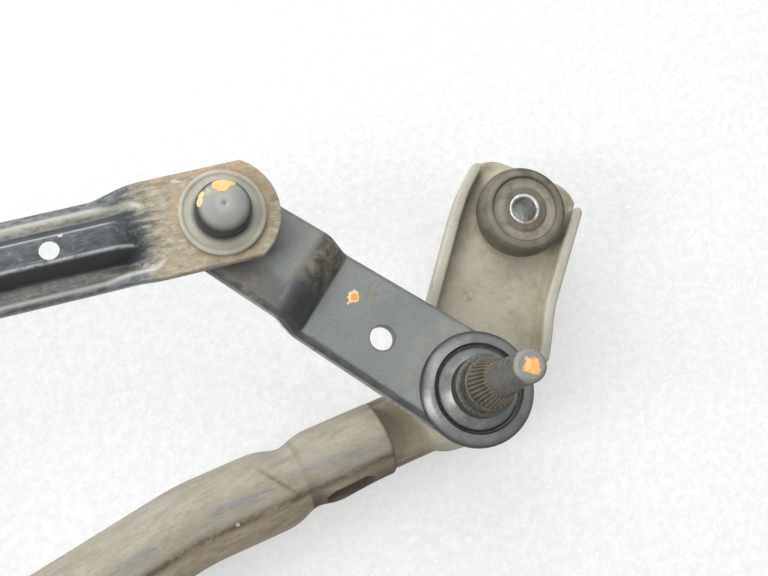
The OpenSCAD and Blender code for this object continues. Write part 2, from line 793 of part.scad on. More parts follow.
// A pressed link from one ball at x = 0 to the other at x = length, with its eyes' top at z = 0
module link(length) {
    difference() {
        union() {
            intersection() {
                difference() {
                    pressing(length, 0);
                    pressing(length, link_t);
                }
                link_plan(length);
                translate([0, -2 * eye_w, link_t - press_deep]) cube([length, 4 * eye_w, 2 * press_deep]);
            }
            link_eye();
            translate([length, 0, 0]) mirror([1, 0, 0]) link_eye();
        }
        translate([length - drain_at, 0, -press_deep]) cylinder(h = 2 * press_deep, r = drain_r);
    }
}

// Moulded ball socket about its ball's centre: dome above, flange on the eye, snap lip below
module socket() {
    eye = -ball_over_eye;
    cup = ball_r + ball_gap;
    mouth = -cup * 0.5;
    lip = eye - link_t - 1.9;
    barrel = eye_hole_r - press_gap;
    crown = eye + dome_h;
    side = crown - 4.6;
    difference() {
        rotate_extrude() polygon(concat(
            [[0, lip], [barrel - 0.3, lip], [barrel + 0.4, lip + 0.8], [barrel + 0.4, eye - link_t - press_gap],
                [barrel, eye - link_t - press_gap], [barrel, eye], [flange_r, eye], [flange_r, eye + 0.9]],
            arc([flange_r - 0.7, eye + 0.9], 0.7, 0, 90, 4),
            [[dome_r + 1.2, eye + 1.6], [dome_r + 0.3, eye + 2.1], [dome_r, eye + 3]],
            [for (i = [0:8]) [dome_r * pow(cos(90 * i / 8), 0.75), side + 4.6 * pow(sin(90 * i / 8), 1.1)]],
            [[0, crown]]
        ));
        sphere(cup);
        translate([0, 0, lip - 1]) cylinder(h = mouth - lip + 1 + eps, r = cup * cos(30));
        translate([0, 0, lip - eps]) cylinder(h = 1.2, r1 = cup, r2 = cup * cos(30));
    }
}

// Places of the moving pieces
module on_lever() {
    rotate([0, 0, lever_angle]) children();
}

module at_tie_ball() {
    translate([tie_offset[0], tie_offset[1], tie_ball_z]) children();
}

module at_drive_ball() {
    translate([drive_ball[0], drive_ball[1], drive_ball_z]) children();
}

module along_drive_link() {
    at_drive_ball() rotate([0, 0, drive_heading]) children();
}

module right_lever() {
    color([0.07, 0.07, 0.075]) on_lever() lever(0);
}

module left_lever() {
    color([0.07, 0.07, 0.075]) at_left() on_lever() lever(drive_arm_len);
}

module tie_link() {
    color([0.08, 0.08, 0.085]) at_left() at_tie_ball() translate([0, 0, -ball_over_eye]) link(pivot_span);
}

module drive_link() {
    color([0.08, 0.08, 0.085]) along_drive_link() translate([0, 0, -ball_over_eye]) link(drive_link_len);
}

module grey_socket() {
    color([0.5, 0.51, 0.5]) socket();
}

module steel_ball() {
    color([0.55, 0.55, 0.55]) ball_stud();
}

module rubber_mount(t) {
    color([0.16, 0.15, 0.14]) grommet(t);
}

module zinc_sleeve(t) {
    color([0.75, 0.76, 0.77]) sleeve(t);
}

frame_tube();
right_pivot_housing();
left_pivot_housing();
motor_bracket();
upper_bush();  // right_upper_bush
lower_bush();  // right_lower_bush
at_left() upper_bush();  // left_upper_bush
at_left() lower_bush();  // left_lower_bush
seal_ring();  // right_seal_ring
at_left() seal_ring();  // left_seal_ring
thrust_washer();  // right_thrust_washer
at_left() thrust_washer();  // left_thrust_washer
at_right_mount() rubber_mount(arm_t);  // right_grommet
mirrored() at_right_mount() rubber_mount(arm_t);  // left_grommet
at_centre_mount() rubber_mount(bracket_t);  // centre_grommet
at_right_mount() zinc_sleeve(arm_t);  // right_sleeve
mirrored() at_right_mount() zinc_sleeve(arm_t);  // left_sleeve
at_centre_mount() zinc_sleeve(bracket_t);  // centre_sleeve
spindle();  // right_spindle
right_lever();
at_tie_ball() steel_ball();  // right_tie_ball
seal_cap();  // right_seal_cap
foot_washer();  // right_foot_washer
clip();  // right_clip
at_left() spindle();  // left_spindle
left_lever();
at_left() at_tie_ball() steel_ball();  // left_tie_ball
at_drive_ball() steel_ball();  // left_drive_ball
at_left() seal_cap();  // left_seal_cap
at_left() foot_washer();  // left_foot_washer
at_left() clip();  // left_clip
tie_link();
at_tie_ball() grey_socket();  // tie_link_right_socket
at_left() at_tie_ball() grey_socket();  // tie_link_left_socket
drive_link();
at_drive_ball() grey_socket();  // drive_link_lever_socket
along_drive_link() translate([drive_link_len, 0, 0]) grey_socket();  // drive_link_motor_socket
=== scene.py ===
"""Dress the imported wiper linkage: fine pressed, cast and turned surfaces, worn finishes, stage."""

import math

import bmesh
import bpy
import numpy as np
from mathutils import Matrix


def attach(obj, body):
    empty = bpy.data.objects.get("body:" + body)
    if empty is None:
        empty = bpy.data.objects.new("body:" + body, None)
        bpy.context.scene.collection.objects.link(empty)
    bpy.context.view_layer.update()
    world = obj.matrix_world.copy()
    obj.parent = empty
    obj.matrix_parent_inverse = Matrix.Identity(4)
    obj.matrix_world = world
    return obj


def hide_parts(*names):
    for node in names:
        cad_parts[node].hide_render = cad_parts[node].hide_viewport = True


bl_info = {
    "name": "Wiper linkage dressing",
    "version": (1, 0, 0),
    "blender": (4, 5, 0),
    "location": "View3D > Sidebar > Linkage",
    "description": "Builds the visible surfaces of a wiper linkage round its CAD frame",
    "category": "Object",
}

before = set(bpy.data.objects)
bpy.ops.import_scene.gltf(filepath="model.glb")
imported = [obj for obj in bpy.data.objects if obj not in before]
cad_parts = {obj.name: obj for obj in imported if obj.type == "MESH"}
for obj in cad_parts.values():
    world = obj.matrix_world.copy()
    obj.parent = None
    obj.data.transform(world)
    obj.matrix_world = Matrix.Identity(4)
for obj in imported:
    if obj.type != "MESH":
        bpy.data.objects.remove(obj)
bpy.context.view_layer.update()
MM = 0.001


class LinkageSizes(bpy.types.PropertyGroup):
    """Main sizes, which the visible pieces share with the CAD frame."""

    pivot_span: bpy.props.FloatProperty(
        name="Pivot span", description="Distance between the spindle axes", default=0.48, unit="LENGTH"
    )
    lever_length: bpy.props.FloatProperty(
        name="Lever length", description="Spindle axis to tie ball", default=0.077, unit="LENGTH"
    )
    lever_angle: bpy.props.FloatProperty(
        name="Lever angle", description="Levers at rest, from the line of pivots",
        default=math.radians(133.4), subtype="ANGLE",
    )
    drive_arm: bpy.props.FloatProperty(
        name="Drive arm", description="Left spindle axis to drive ball", default=0.045, unit="LENGTH"
    )
    drive_link_length: bpy.props.FloatProperty(
        name="Drive link length", description="Drive ball to motor ball", default=0.246501, unit="LENGTH"
    )
    drive_link_angle: bpy.props.FloatProperty(
        name="Drive link angle", description="Heading of the drive link at rest",
        default=math.radians(6.5804), subtype="ANGLE",
    )
    lever_top: bpy.props.FloatProperty(
        name="Lever top", description="Top of the levers at the spindles", default=0.0392, unit="LENGTH"
    )
    tube_radius: bpy.props.FloatProperty(
        name="Tube radius", description="Outer radius of the frame tube", default=0.011, unit="LENGTH"
    )
    arm_angle: bpy.props.FloatProperty(
        name="Arm angle", description="Direction of the right bracket arm",
        default=math.radians(56.0), subtype="ANGLE",
    )
    arm_length: bpy.props.FloatProperty(
        name="Arm length", description="Spindle axis to rubber mount", default=0.053, unit="LENGTH"
    )


def tone(red, green, blue):
    """Linear colour of an sRGB tone from 0 to 255: c/12.92 when dark, else ((c+0.055)/1.055)^2.4."""
    c = np.array([red, green, blue]) / 255.0
    linear = np.where(c <= 0.04045, c / 12.92, ((c + 0.055) / 1.055) ** 2.4)
    return tuple(linear.tolist())


def colour_property(label, words, value):
    """A colour that the user can change."""
    return bpy.props.FloatVectorProperty(
        name=label, description=words, subtype="COLOR", size=3, min=0.0, max=1.0, default=value
    )


class LinkageColours(bpy.types.PropertyGroup):
    """Colours of the finishes."""

    paint: colour_property("Black paint", "Paint of levers, links and motor bracket", tone(52, 54, 57))
    film: colour_property("Dust film", "Thin dust on the levers' paint", tone(118, 123, 122))
    rust: colour_property("Rust", "Rust at the links' eyes", tone(180, 148, 112))
    steel: colour_property("Bare steel", "Worn edges and chips", tone(176, 178, 178))
    casting: colour_property("Casting", "Dusty cast aluminium", tone(186, 179, 161))
    rib: colour_property("Rib top", "Rubbed tops of the casting's ribs", tone(180, 178, 165))
    tube: colour_property("Tube", "Dusty tube", tone(170, 164, 148))
    socket: colour_property("Socket", "Moulded sockets", tone(142, 144, 139))
    rubber: colour_property("Rubber", "Rubber mounts", tone(84, 80, 70))
    cap: colour_property("Cap", "Dust caps", tone(40, 41, 42))
    dab: colour_property("Paint dab", "Inspection paint", tone(234, 196, 132))


# Shared shape functions

def ease(x):
    """3t^2 - 2t^3 with t = x held between 0 and 1."""
    t = np.clip(x, 0.0, 1.0)
    return t * t * (3.0 - 2.0 * t)


def bell(x, width):
    """exp(-(x/width)^2)."""
    return np.exp(-((x / width) ** 2))


def spaced(*runs):
    """Joined rows of values: each run is (start, end, step), with shared ends taken once."""
    parts = [np.linspace(a, b, max(2, int(round(abs(b - a) / step)) + 1)) for a, b, step in runs]
    joined = np.concatenate(parts)
    keep = np.concatenate([[True], np.abs(np.diff(joined)) > 1e-6])
    return joined[keep]


def turned(x, y, angle):
    """Coordinates of x, y in a frame turned by angle: along and across."""
    c, s = math.cos(angle), math.sin(angle)
    return x * c + y * s, y * c - x * s


def placed(points, origin, angle):
    """Points turned by angle about Z and moved to origin."""
    c, s = math.cos(angle), math.sin(angle)
    x = points[..., 0] * c - points[..., 1] * s + origin[0]
    y = points[..., 0] * s + points[..., 1] * c + origin[1]
    return np.stack([x, y, points[..., 2] + origin[2]], axis=-1)


def grid_faces(rows, columns, close_rows=False, close_columns=False):
    """Quads of a grid of points, numbered row by row, joined round where it closes."""
    i = np.arange(rows if close_rows else rows - 1)
    j = np.arange(columns if close_columns else columns - 1)
    a, b = np.meshgrid(i, j, indexing="ij")
    c, d = (a + 1) % rows, (b + 1) % columns
    quads = np.stack([a * columns + b, a * columns + d, c * columns + d, c * columns + b], axis=-1)
    return quads.reshape(-1, 4)


def rounded(corners, steps=5):
    """Line through corners (r, z, cut): each is a quadratic curve from cut before it to cut after it."""
    points = np.array([corner[:2] for corner in corners], float)
    line = []
    for i, corner in enumerate(corners):
        cut = corner[2]
        if cut == 0 or i in (0, len(corners) - 1):
            line.append(points[i][None])
            continue
        before = points[i - 1] - points[i]
        after = points[i + 1] - points[i]
        start = points[i] + before / np.linalg.norm(before) * cut
        end = points[i] + after / np.linalg.norm(after) * cut
        t = np.linspace(0.0, 1.0, steps + 1)[:, None]
        line.append((1 - t) ** 2 * start + 2 * t * (1 - t) * points[i] + t * t * end)
    return np.concatenate(line)


def revolve(profile, count, shape=None):
    """Points (r cos q, r sin q, z) of each profile point (r, z) and angle q, r changed by shape(r, z, q)."""
    angle = np.arange(count) * 2 * np.pi / count
    r, q = np.meshgrid(profile[:, 0], angle, indexing="ij")
    z = np.broadcast_to(profile[:, 1][:, None], r.shape)
    if shape is not None:
        r = shape(r, z, q)
    return np.stack([r * np.cos(q), r * np.sin(q), z], axis=-1)


def bent_line(corners, radius, step=0.4):
    """Path through corners with arcs of radius at the inner ones: places and headings, close together."""
    corners = np.array(corners, float)
    legs = np.diff(corners, axis=0)
    heads = np.unwrap(np.arctan2(legs[:, 1], legs[:, 0]))
    places = [corners[:1]]
    headings = [heads[:1]]
    for i in range(1, len(corners) - 1):
        turn = heads[i] - heads[i - 1]
        side = np.sign(turn)
        reach = radius * math.tan(abs(turn) / 2)
        start = corners[i] - reach * np.array([math.cos(heads[i - 1]), math.sin(heads[i - 1])])
        centre = start + radius * side * np.array([-math.sin(heads[i - 1]), math.cos(heads[i - 1])])
        count = max(4, int(radius * abs(turn) / step))
        h = heads[i - 1] + turn * np.linspace(0.0, 1.0, count + 1)
        places.append(centre + radius * side * np.stack([np.sin(h), -np.cos(h)], axis=-1))
        headings.append(h)
    places.append(corners[-1:])
    headings.append(heads[-1:])
    return np.concatenate(places), np.concatenate(headings)


def along_line(line, s):
    """Places and headings of a bent line at distances s from its start."""
    places, headings = line
    travelled = np.concatenate([[0.0], np.cumsum(np.linalg.norm(np.diff(places, axis=0), axis=1))])
    x = np.interp(s, travelled, places[:, 0])
    y = np.interp(s, travelled, places[:, 1])
    return np.stack([x, y], axis=-1), np.interp(s, travelled, headings), travelled[-1]


def shell(top, bottom, holes=()):
    """Closed sheet between two like grids of points. Round holes (x, y, radius), in the grids' own plane,
    take out the faces inside them, set the points at their rims on the circles and get walls."""
    rows, columns = top.shape[:2]
    count = rows * columns
    upper = top.reshape(-1, 3).copy()
    lower = bottom.reshape(-1, 3).copy()
    quads = grid_faces(rows, columns)[:, ::-1]
    walls = []
    for x, y, radius in holes:
        away = upper[:, :2] - np.array([x, y])
        distance = np.linalg.norm(away, axis=1)
        gone = (distance < radius)[quads].sum(axis=1) >= 2
        kept = quads[~gone]
        rim = np.intersect1d(np.unique(quads[gone]), np.unique(kept))
        on_circle = np.array([x, y]) + away[rim] / distance[rim][:, None] * radius
        upper[rim, :2] = on_circle
        lower[rim, :2] = on_circle
        edges = np.concatenate([quads[gone][:, [k, (k + 1) % 4]] for k in range(4)])
        both = np.sort(edges, axis=1)
        index, times = np.unique(both, axis=0, return_index=True, return_counts=True)[1:]
        walls.append(edges[index[times == 1]])
        quads = kept
    ring = np.concatenate([
        np.arange(columns - 1, -1, -1),
        np.arange(1, rows - 1) * columns,
        (rows - 1) * columns + np.arange(columns),
        np.arange(rows - 2, 0, -1) * columns + columns - 1,
    ])
    edges = np.concatenate([np.stack([np.roll(ring, -1), ring], axis=-1), *walls])
    sides = np.concatenate([edges, edges[:, ::-1] + count], axis=1)
    faces = np.concatenate([quads, quads[:, ::-1] + count, sides])
    return np.concatenate([upper, lower]), faces


def contour(field, low, step):
    """Closed surface where a block of samples is zero: every cell that it crosses gets one point, the mean
    of the crossings on its edges, and every sample edge that changes sign gets a quad of the four cells
    round it."""
    shape = np.array(field.shape)
    cells = int(shape.prod())
    counts = np.zeros(cells)
    sums = np.zeros((3, cells))
    quads = []
    for axis in range(3):
        b, c = (axis + 1) % 3, (axis + 2) % 3
        near = np.take(field, range(shape[axis] - 1), axis)
        far = np.take(field, range(1, shape[axis]), axis)
        index = np.argwhere((near < 0) != (far < 0))
        first = near[tuple(index.T)]
        last = far[tuple(index.T)]
        crossing = index.astype(float)
        crossing[:, axis] += first / (first - last)
        ring = []
        for step_b, step_c in ((0, 0), (-1, 0), (-1, -1), (0, -1)):
            cell = index.copy()
            cell[:, b] += step_b
            cell[:, c] += step_c
            flat = np.ravel_multi_index(tuple(cell.T), tuple(shape))
            counts += np.bincount(flat, minlength=cells)
            for d in range(3):
                sums[d] += np.bincount(flat, weights=crossing[:, d], minlength=cells)
            ring.append(flat)
        quad = np.stack(ring, axis=-1)
        inward = first > 0
        quad[inward] = quad[inward][:, ::-1]
        quads.append(quad)
    used = np.flatnonzero(counts)
    number = np.full(cells, -1)
    number[used] = np.arange(len(used))
    points = (sums[:, used] / counts[used]).T * step + np.array(low)
    return points, number[np.concatenate(quads)]


def sample_block(low, high, step):
    """Sample places of a block from low to high."""
    axes = [np.arange(a, b + step, step) for a, b in zip(low, high)]
    return np.meshgrid(*axes, indexing="ij")


def join(a, b, k):
    """Lesser of two distances with a fillet k: b + (a-b)h - k h(1-h), h = (1 + (b-a)/k)/2 in 0..1."""
    h = np.clip(0.5 + 0.5 * (b - a) / k, 0.0, 1.0)
    return b + (a - b) * h - k * h * (1.0 - h)


def meet(a, b, k):
    """Greater of two distances with an edge rounded by k."""
    return -join(-a, -b, k)


def slab(z, low, high):
    """Distance to the layer between two heights or two flat faces."""
    return np.maximum(low - z, z - high)


# Putting pieces in the scene

WELD_DISTANCE = 1e-7
SMOOTH_CASTING = 60.0


def put(name, points, faces, body, finish, stands_for=(), marks=None, weld=True, sharp=35.0):
    """One piece from points in millimetres and quads, which rides on a CAD body. It is smooth but for edges
    sharper than sharp degrees. Marks are named values or vectors per point for its finish."""
    mesh = bpy.data.meshes.new(name)
    mesh.from_pydata((points.reshape(-1, 3) * MM).tolist(), [], faces.tolist())
    for label, values in (marks or {}).items():
        values = np.asarray(values, np.float32)
        is_vector = values.ndim > 1
        layer = mesh.attributes.new(label, "FLOAT_VECTOR" if is_vector else "FLOAT", "POINT")
        layer.data.foreach_set("vector" if is_vector else "value", values.ravel())
    if weld:
        work = bmesh.new()
        work.from_mesh(mesh)
        bmesh.ops.remove_doubles(work, verts=work.verts, dist=WELD_DISTANCE)
        bmesh.ops.dissolve_degenerate(work, edges=work.edges, dist=WELD_DISTANCE / 10)
        work.to_mesh(mesh)
        work.free()
    mesh.shade_smooth()
    mesh.set_sharp_from_angle(angle=math.radians(sharp))
    mesh.materials.append(finish)
    piece = bpy.data.objects.new(name, mesh)
    bpy.context.scene.collection.objects.link(piece)
    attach(piece, body)
    if stands_for:
        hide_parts(*stands_for)


def mirror_left(points, faces, span):
    """The left-hand copy of a right-hand piece: x becomes -span - x, and its faces turn round."""
    flipped = points.reshape(-1, 3).copy()
    flipped[:, 0] = -span - flipped[:, 0]
    return flipped, faces[:, ::-1]


# Finishes

class Finish:
    """A material whose nodes are made by short calls."""

    def __init__(self, name):
        self.material = bpy.data.materials.new(name)
        self.material.use_nodes = True
        self.tree = self.material.node_tree
        self.shader = self.tree.nodes["Principled BSDF"]
        self.here = self.node("ShaderNodeTexCoord").outputs["Object"]

    def node(self, kind):
        return self.tree.nodes.new(kind)

    def feed(self, value, socket):
        """A socket's constant, or a link to it."""
        if isinstance(value, bpy.types.NodeSocket):
            self.tree.links.new(value, socket)
        elif isinstance(value, tuple) and len(value) == 3 and socket.type == "RGBA":
            socket.default_value = (*value, 1.0)
        else:
            socket.default_value = value

    def mark(self, name, vector=False):
        """A value that the piece's points carry."""
        node = self.node("ShaderNodeAttribute")
        node.attribute_name = name
        return node.outputs["Vector" if vector else "Fac"]

    def noise(self, scale, detail=5.0, rough=0.6, stretch=(1.0, 1.0, 1.0), place=None, warp=0.0):
        """Fractal noise with scale features to the metre."""
        place = self.here if place is None else place
        if stretch != (1.0, 1.0, 1.0):
            mapping = self.node("ShaderNodeMapping")
            mapping.inputs["Scale"].default_value = stretch
            self.feed(place, mapping.inputs["Vector"])
            place = mapping.outputs["Vector"]
        node = self.node("ShaderNodeTexNoise")
        self.feed(place, node.inputs["Vector"])
        self.feed(scale, node.inputs["Scale"])
        self.feed(detail, node.inputs["Detail"])
        self.feed(rough, node.inputs["Roughness"])
        self.feed(warp, node.inputs["Distortion"])
        return node.outputs[0]

    def band(self, value, low, high):
        """0 below low, 1 above high, smooth between."""
        node = self.node("ShaderNodeMapRange")
        node.interpolation_type = "SMOOTHSTEP"
        self.feed(value, node.inputs["Value"])
        self.feed(low, node.inputs["From Min"])
        self.feed(high, node.inputs["From Max"])
        return node.outputs["Result"]

    def math(self, operation, a, b):
        node = self.node("ShaderNodeMath")
        node.operation = operation
        self.feed(a, node.inputs[0])
        self.feed(b, node.inputs[1])
        return node.outputs["Value"]

    def times(self, a, b):
        return self.math("MULTIPLY", a, b)

    def plus(self, a, b):
        return self.math("ADD", a, b)

    def most(self, a, b):
        return self.math("MAXIMUM", a, b)

    def mix(self, share, a, b):
        """Colour a where share is 0 and b where it is 1."""
        node = self.node("ShaderNodeMix")
        node.data_type = "RGBA"
        self.feed(share, node.inputs["Factor"])
        self.feed(a, node.inputs[6])
        self.feed(b, node.inputs[7])
        return node.outputs[2]

    def hairs(self, scale, width, stretch=(1.0, 1.0, 1.0), place=None):
        """Thin winding lines, where a noise passes its middle value."""
        away = self.node("ShaderNodeMath")
        away.operation = "ABSOLUTE"
        self.feed(self.plus(self.noise(scale, 2.0, 0.5, stretch, place), -0.5), away.inputs[0])
        return self.band(away.outputs["Value"], width, 0.0)

    def near(self, centre, radius, ragged=0.35, scale=900.0):
        """1 inside a ragged spot about a point in millimetres."""
        node = self.node("ShaderNodeVectorMath")
        node.operation = "DISTANCE"
        self.feed(self.here, node.inputs[0])
        node.inputs[1].default_value = tuple(x * MM for x in centre)
        edge = self.times(self.plus(self.noise(scale, 3.0), -0.5), ragged * 2.0 * radius * MM)
        return self.band(self.plus(node.outputs["Value"], edge), radius * MM * 1.08, radius * MM * 0.92)

    def surface(self, colour, rough, metal=0.0, height=None, depth=0.0001, specular=0.5):
        """Feeds the shader and gives back the material. Height is a bump of that depth in metres."""
        self.feed(colour, self.shader.inputs["Base Color"])
        self.feed(rough, self.shader.inputs["Roughness"])
        self.feed(metal, self.shader.inputs["Metallic"])
        self.feed(specular, self.shader.inputs["Specular IOR Level"])
        if height is not None:
            bump = self.node("ShaderNodeBump")
            self.feed(height, bump.inputs["Height"])
            bump.inputs["Distance"].default_value = depth
            self.feed(bump.outputs["Normal"], self.shader.inputs["Normal"])
        return self.material


def finish_of(name, make):
    """The material of that name, made once."""
    full = "finish_" + name
    return bpy.data.materials.get(full) or make(full, bpy.context.scene.linkage_colours)


def colour(value):
    """A property's colour as a tuple."""
    return tuple(value)


def scratches(f, place, scale, turn_stretches):
    """Fine straight scratches: the most of several stretched noises, thresholded thin."""
    total = None
    for stretch in turn_stretches:
        line = f.band(f.noise(scale, 2.0, 0.5, stretch, place, 0.3), 0.62, 0.68)
        total = line if total is None else f.most(total, line)
    return total


def lever_paint(name, colours):
    """Black paint of the levers under a grey film of dust, which is darker on the jog's slope, with painted
    shade along the edges, strongest on one side, a dark ring round the gauge hole, a painted shadow of the
    tie link past the jog, brown smudges, a bare lower cut edge and one paint dab."""
    f = Finish(name)
    flow = f.mark("flow", vector=True)
    cloud = f.noise(55.0, 5.0, 0.6, place=flow)
    patch = f.noise(260.0, 6.0, 0.7, place=flow)
    fine = f.noise(1900.0, 4.0, 0.7, place=flow)
    film = f.mix(f.band(cloud, 0.32, 0.7), colour(colours.film), tone(130, 133, 129))
    grains = f.times(f.mark("grains"), f.band(f.plus(f.times(fine, 0.6), f.times(patch, 0.4)), 0.44, 0.62))
    film = f.mix(grains, film, tone(156, 154, 146))
    film = f.mix(f.times(f.band(fine, 0.46, 0.64), 0.5), film, tone(90, 94, 94))
    film = f.mix(f.times(f.band(patch, 0.52, 0.7), 0.3), film, tone(96, 100, 101))
    film = f.mix(f.times(f.hairs(520.0, 0.012, (0.5, 1.0, 1.0), flow), 0.2), film, tone(98, 100, 98))
    black = f.mix(f.band(patch, 0.36, 0.66), colour(colours.paint), tone(78, 80, 80))
    # Dark paint where the dust film is off the jog's slope, plus painted shade along the edges and a painted
    # shadow of the tie link past the jog.
    wiped_and_shaded = f.band(f.plus(f.mark("wiped_and_shaded"), f.times(f.plus(patch, -0.5), 0.7)), 0.28, 0.74)
    base = f.mix(wiped_and_shaded, film, black)
    smudge = f.times(f.mark("grime"), f.band(f.plus(patch, f.times(fine, 0.25)), 0.5, 0.78))
    base = f.mix(smudge, base, tone(142, 132, 110))
    bare = f.times(f.mark("cut"), f.band(f.noise(500.0, 4.0, 0.6, place=flow), 0.2, 0.5))
    base = f.mix(bare, base, tone(190, 187, 178))
    spot = f.near((-24.3, 30.9, 39.2), 1.5, 1.6, 600.0)
    base = f.mix(spot, base, tone(228, 206, 160))
    base = f.mix(f.near((-24.1, 30.8, 39.2), 0.9, 1.2, 600.0), base, tone(226, 158, 82))
    ring = f.times(f.near((-19.6, 31.2, 39.2), 1.8, 0.8), f.band(f.noise(800.0, 4.0), 0.44, 0.58))
    base = f.mix(f.times(ring, 0.6), base, tone(126, 108, 78))
    rough = f.plus(0.34, f.times(f.plus(f.most(smudge, spot), f.times(fine, 0.25)), 0.4))
    bump = f.plus(f.times(fine, 0.3), f.plus(f.times(cloud, 0.4), f.times(spot, 0.8)))
    return f.surface(base, rough, height=bump, depth=0.0001)


def link_paint(name, colours):
    """Black paint of the links: slate web, painted highlights along the web's edges and on the flange folds,
    broken up by noise, painted shade on the channel walls, dust on the flanges, and tan eyes with fine dark
    hairs and orange rust."""
    f = Finish(name)
    flow = f.mark("flow", vector=True)
    cloud = f.noise(110.0, 5.0, 0.6, (0.5, 1.0, 1.0), flow)
    grit = f.noise(650.0, 6.0, 0.72, (0.5, 1.0, 1.0), flow)
    fine = f.noise(2400.0, 3.0, 0.6, (0.4, 1.0, 1.0), flow)
    slate = f.band(f.plus(f.times(cloud, 0.5), f.times(grit, 0.5)), 0.4, 0.62)
    base = f.mix(slate, tone(46, 52, 57), tone(86, 92, 96))
    lines = f.hairs(420.0, 0.012, (0.12, 1.0, 1.0), flow)
    base = f.mix(f.times(lines, 0.35), base, tone(146, 152, 155))
    # Painted shade: the channel walls darkened near black, full on the -Y side and half on the +Y side.
    base = f.mix(f.times(f.mark("wall"), 0.95), base, tone(34, 34, 36))
    dust = f.mix(f.band(f.plus(grit, f.times(fine, 0.3)), 0.5, 0.8), tone(98, 96, 88), tone(160, 155, 142))
    base = f.mix(f.mark("dusty"), base, dust)
    lip = f.mix(f.band(grit, 0.4, 0.62), tone(70, 74, 78), tone(122, 125, 125))
    base = f.mix(f.mark("lip"), base, lip)
    streak = f.noise(700.0, 5.0, 0.7, (0.1, 1.0, 1.0), flow)
    ragged = f.plus(f.times(f.plus(streak, -0.5), 1.3), f.times(f.plus(grit, -0.5), 0.6))
    eye = f.band(f.plus(f.mark("eye"), ragged), 0.22, 0.78)
    tan = f.mix(f.band(grit, 0.38, 0.64), tone(146, 138, 120), tone(182, 173, 152))
    tan = f.mix(f.times(f.band(cloud, 0.48, 0.68), 0.5), tan, tone(166, 148, 118))
    hair = f.hairs(420.0, 0.02, (0.14, 1.0, 1.0), flow)
    hair = f.most(hair, f.hairs(640.0, 0.016, (0.25, 1.0, 1.0), flow))
    tan = f.mix(f.times(hair, 0.4), tan, tone(88, 82, 72))
    tan = f.mix(f.times(f.band(fine, 0.6, 0.72), 0.4), tan, tone(110, 100, 84))
    base = f.mix(eye, base, tan)
    spread = f.plus(f.noise(260.0, 6.0, 0.7, place=flow), f.times(fine, 0.2))
    rust = f.times(f.mark("rust"), f.band(spread, 0.5, 0.74))
    base = f.mix(rust, base, colour(colours.rust))
    # Pale band along the flange folds: a painted highlight, broken up by noise.
    crest = f.times(f.mark("crest"), f.band(f.noise(420.0, 5.0, 0.7, (0.25, 1.0, 1.0), flow), 0.14, 0.42))
    base = f.mix(f.times(crest, 0.8), base, tone(196, 196, 187))
    # Painted highlights along the web's edges, broken up by noise.
    wear_and_highlight = f.times(f.mark("bright"), f.band(f.noise(800.0, 5.0, 0.7, (0.35, 1.0, 1.0), flow), 0.32, 0.5))
    base = f.mix(wear_and_highlight, base, tone(208, 212, 212))
    chips = f.times(f.near((-61.0, 66.9, 55.0), 1.7, 1.0), f.band(grit, 0.52, 0.6))
    chips = f.most(chips, f.near((-90.7, 58.8, 58.2), 0.55, 0.8))
    base = f.mix(f.times(chips, 0.8), base, tone(200, 198, 192))
    base = f.mix(f.times(f.mark("cut"), 0.5), base, tone(92, 92, 90))
    rough = f.plus(0.3, f.times(f.plus(f.most(eye, f.mark("dusty")), f.times(fine, 0.35)), 0.4))
    bump = f.plus(f.times(fine, 0.4), f.times(grit, 0.8))
    return f.surface(base, rough, height=bump, depth=0.00014)


def casting_finish(name, colours):
    """As-cast aluminium under dust: mottled beige, grainy, pale speckled rib tops, brown grime at the ribs'
    feet and a painted shadow of the lever on the neck.
    """
    f = Finish(name)
    cloud = f.noise(60.0, 6.0, 0.6)
    patch = f.noise(280.0, 6.0, 0.7)
    grain = f.noise(1300.0, 5.0, 0.7)
    base = f.mix(f.band(cloud, 0.34, 0.68), tone(166, 159, 141), colour(colours.casting))
    base = f.mix(f.times(f.band(patch, 0.42, 0.68), 0.55), base, tone(186, 181, 168))
    base = f.mix(f.times(f.band(patch, 0.46, 0.3), 0.4), base, tone(128, 117, 98))
    # Brown grime at the ribs' feet, and a painted shadow of the lever on the neck.
    base = f.mix(f.times(f.mark("corner"), 0.5), base, tone(134, 120, 96))
    top = f.times(f.mark("crest"), f.band(f.plus(grain, f.times(cloud, 0.5)), 0.5, 0.84))
    base = f.mix(top, base, colour(colours.rib))
    sparks = f.band(f.noise(900.0, 3.0, 0.6), 0.66, 0.72)
    base = f.mix(f.times(sparks, 0.35), base, tone(208, 206, 196))
    rough = f.plus(0.62, f.times(grain, 0.25))
    return f.surface(base, rough, height=f.plus(grain, f.times(patch, 1.5)), depth=0.0002, specular=0.35)


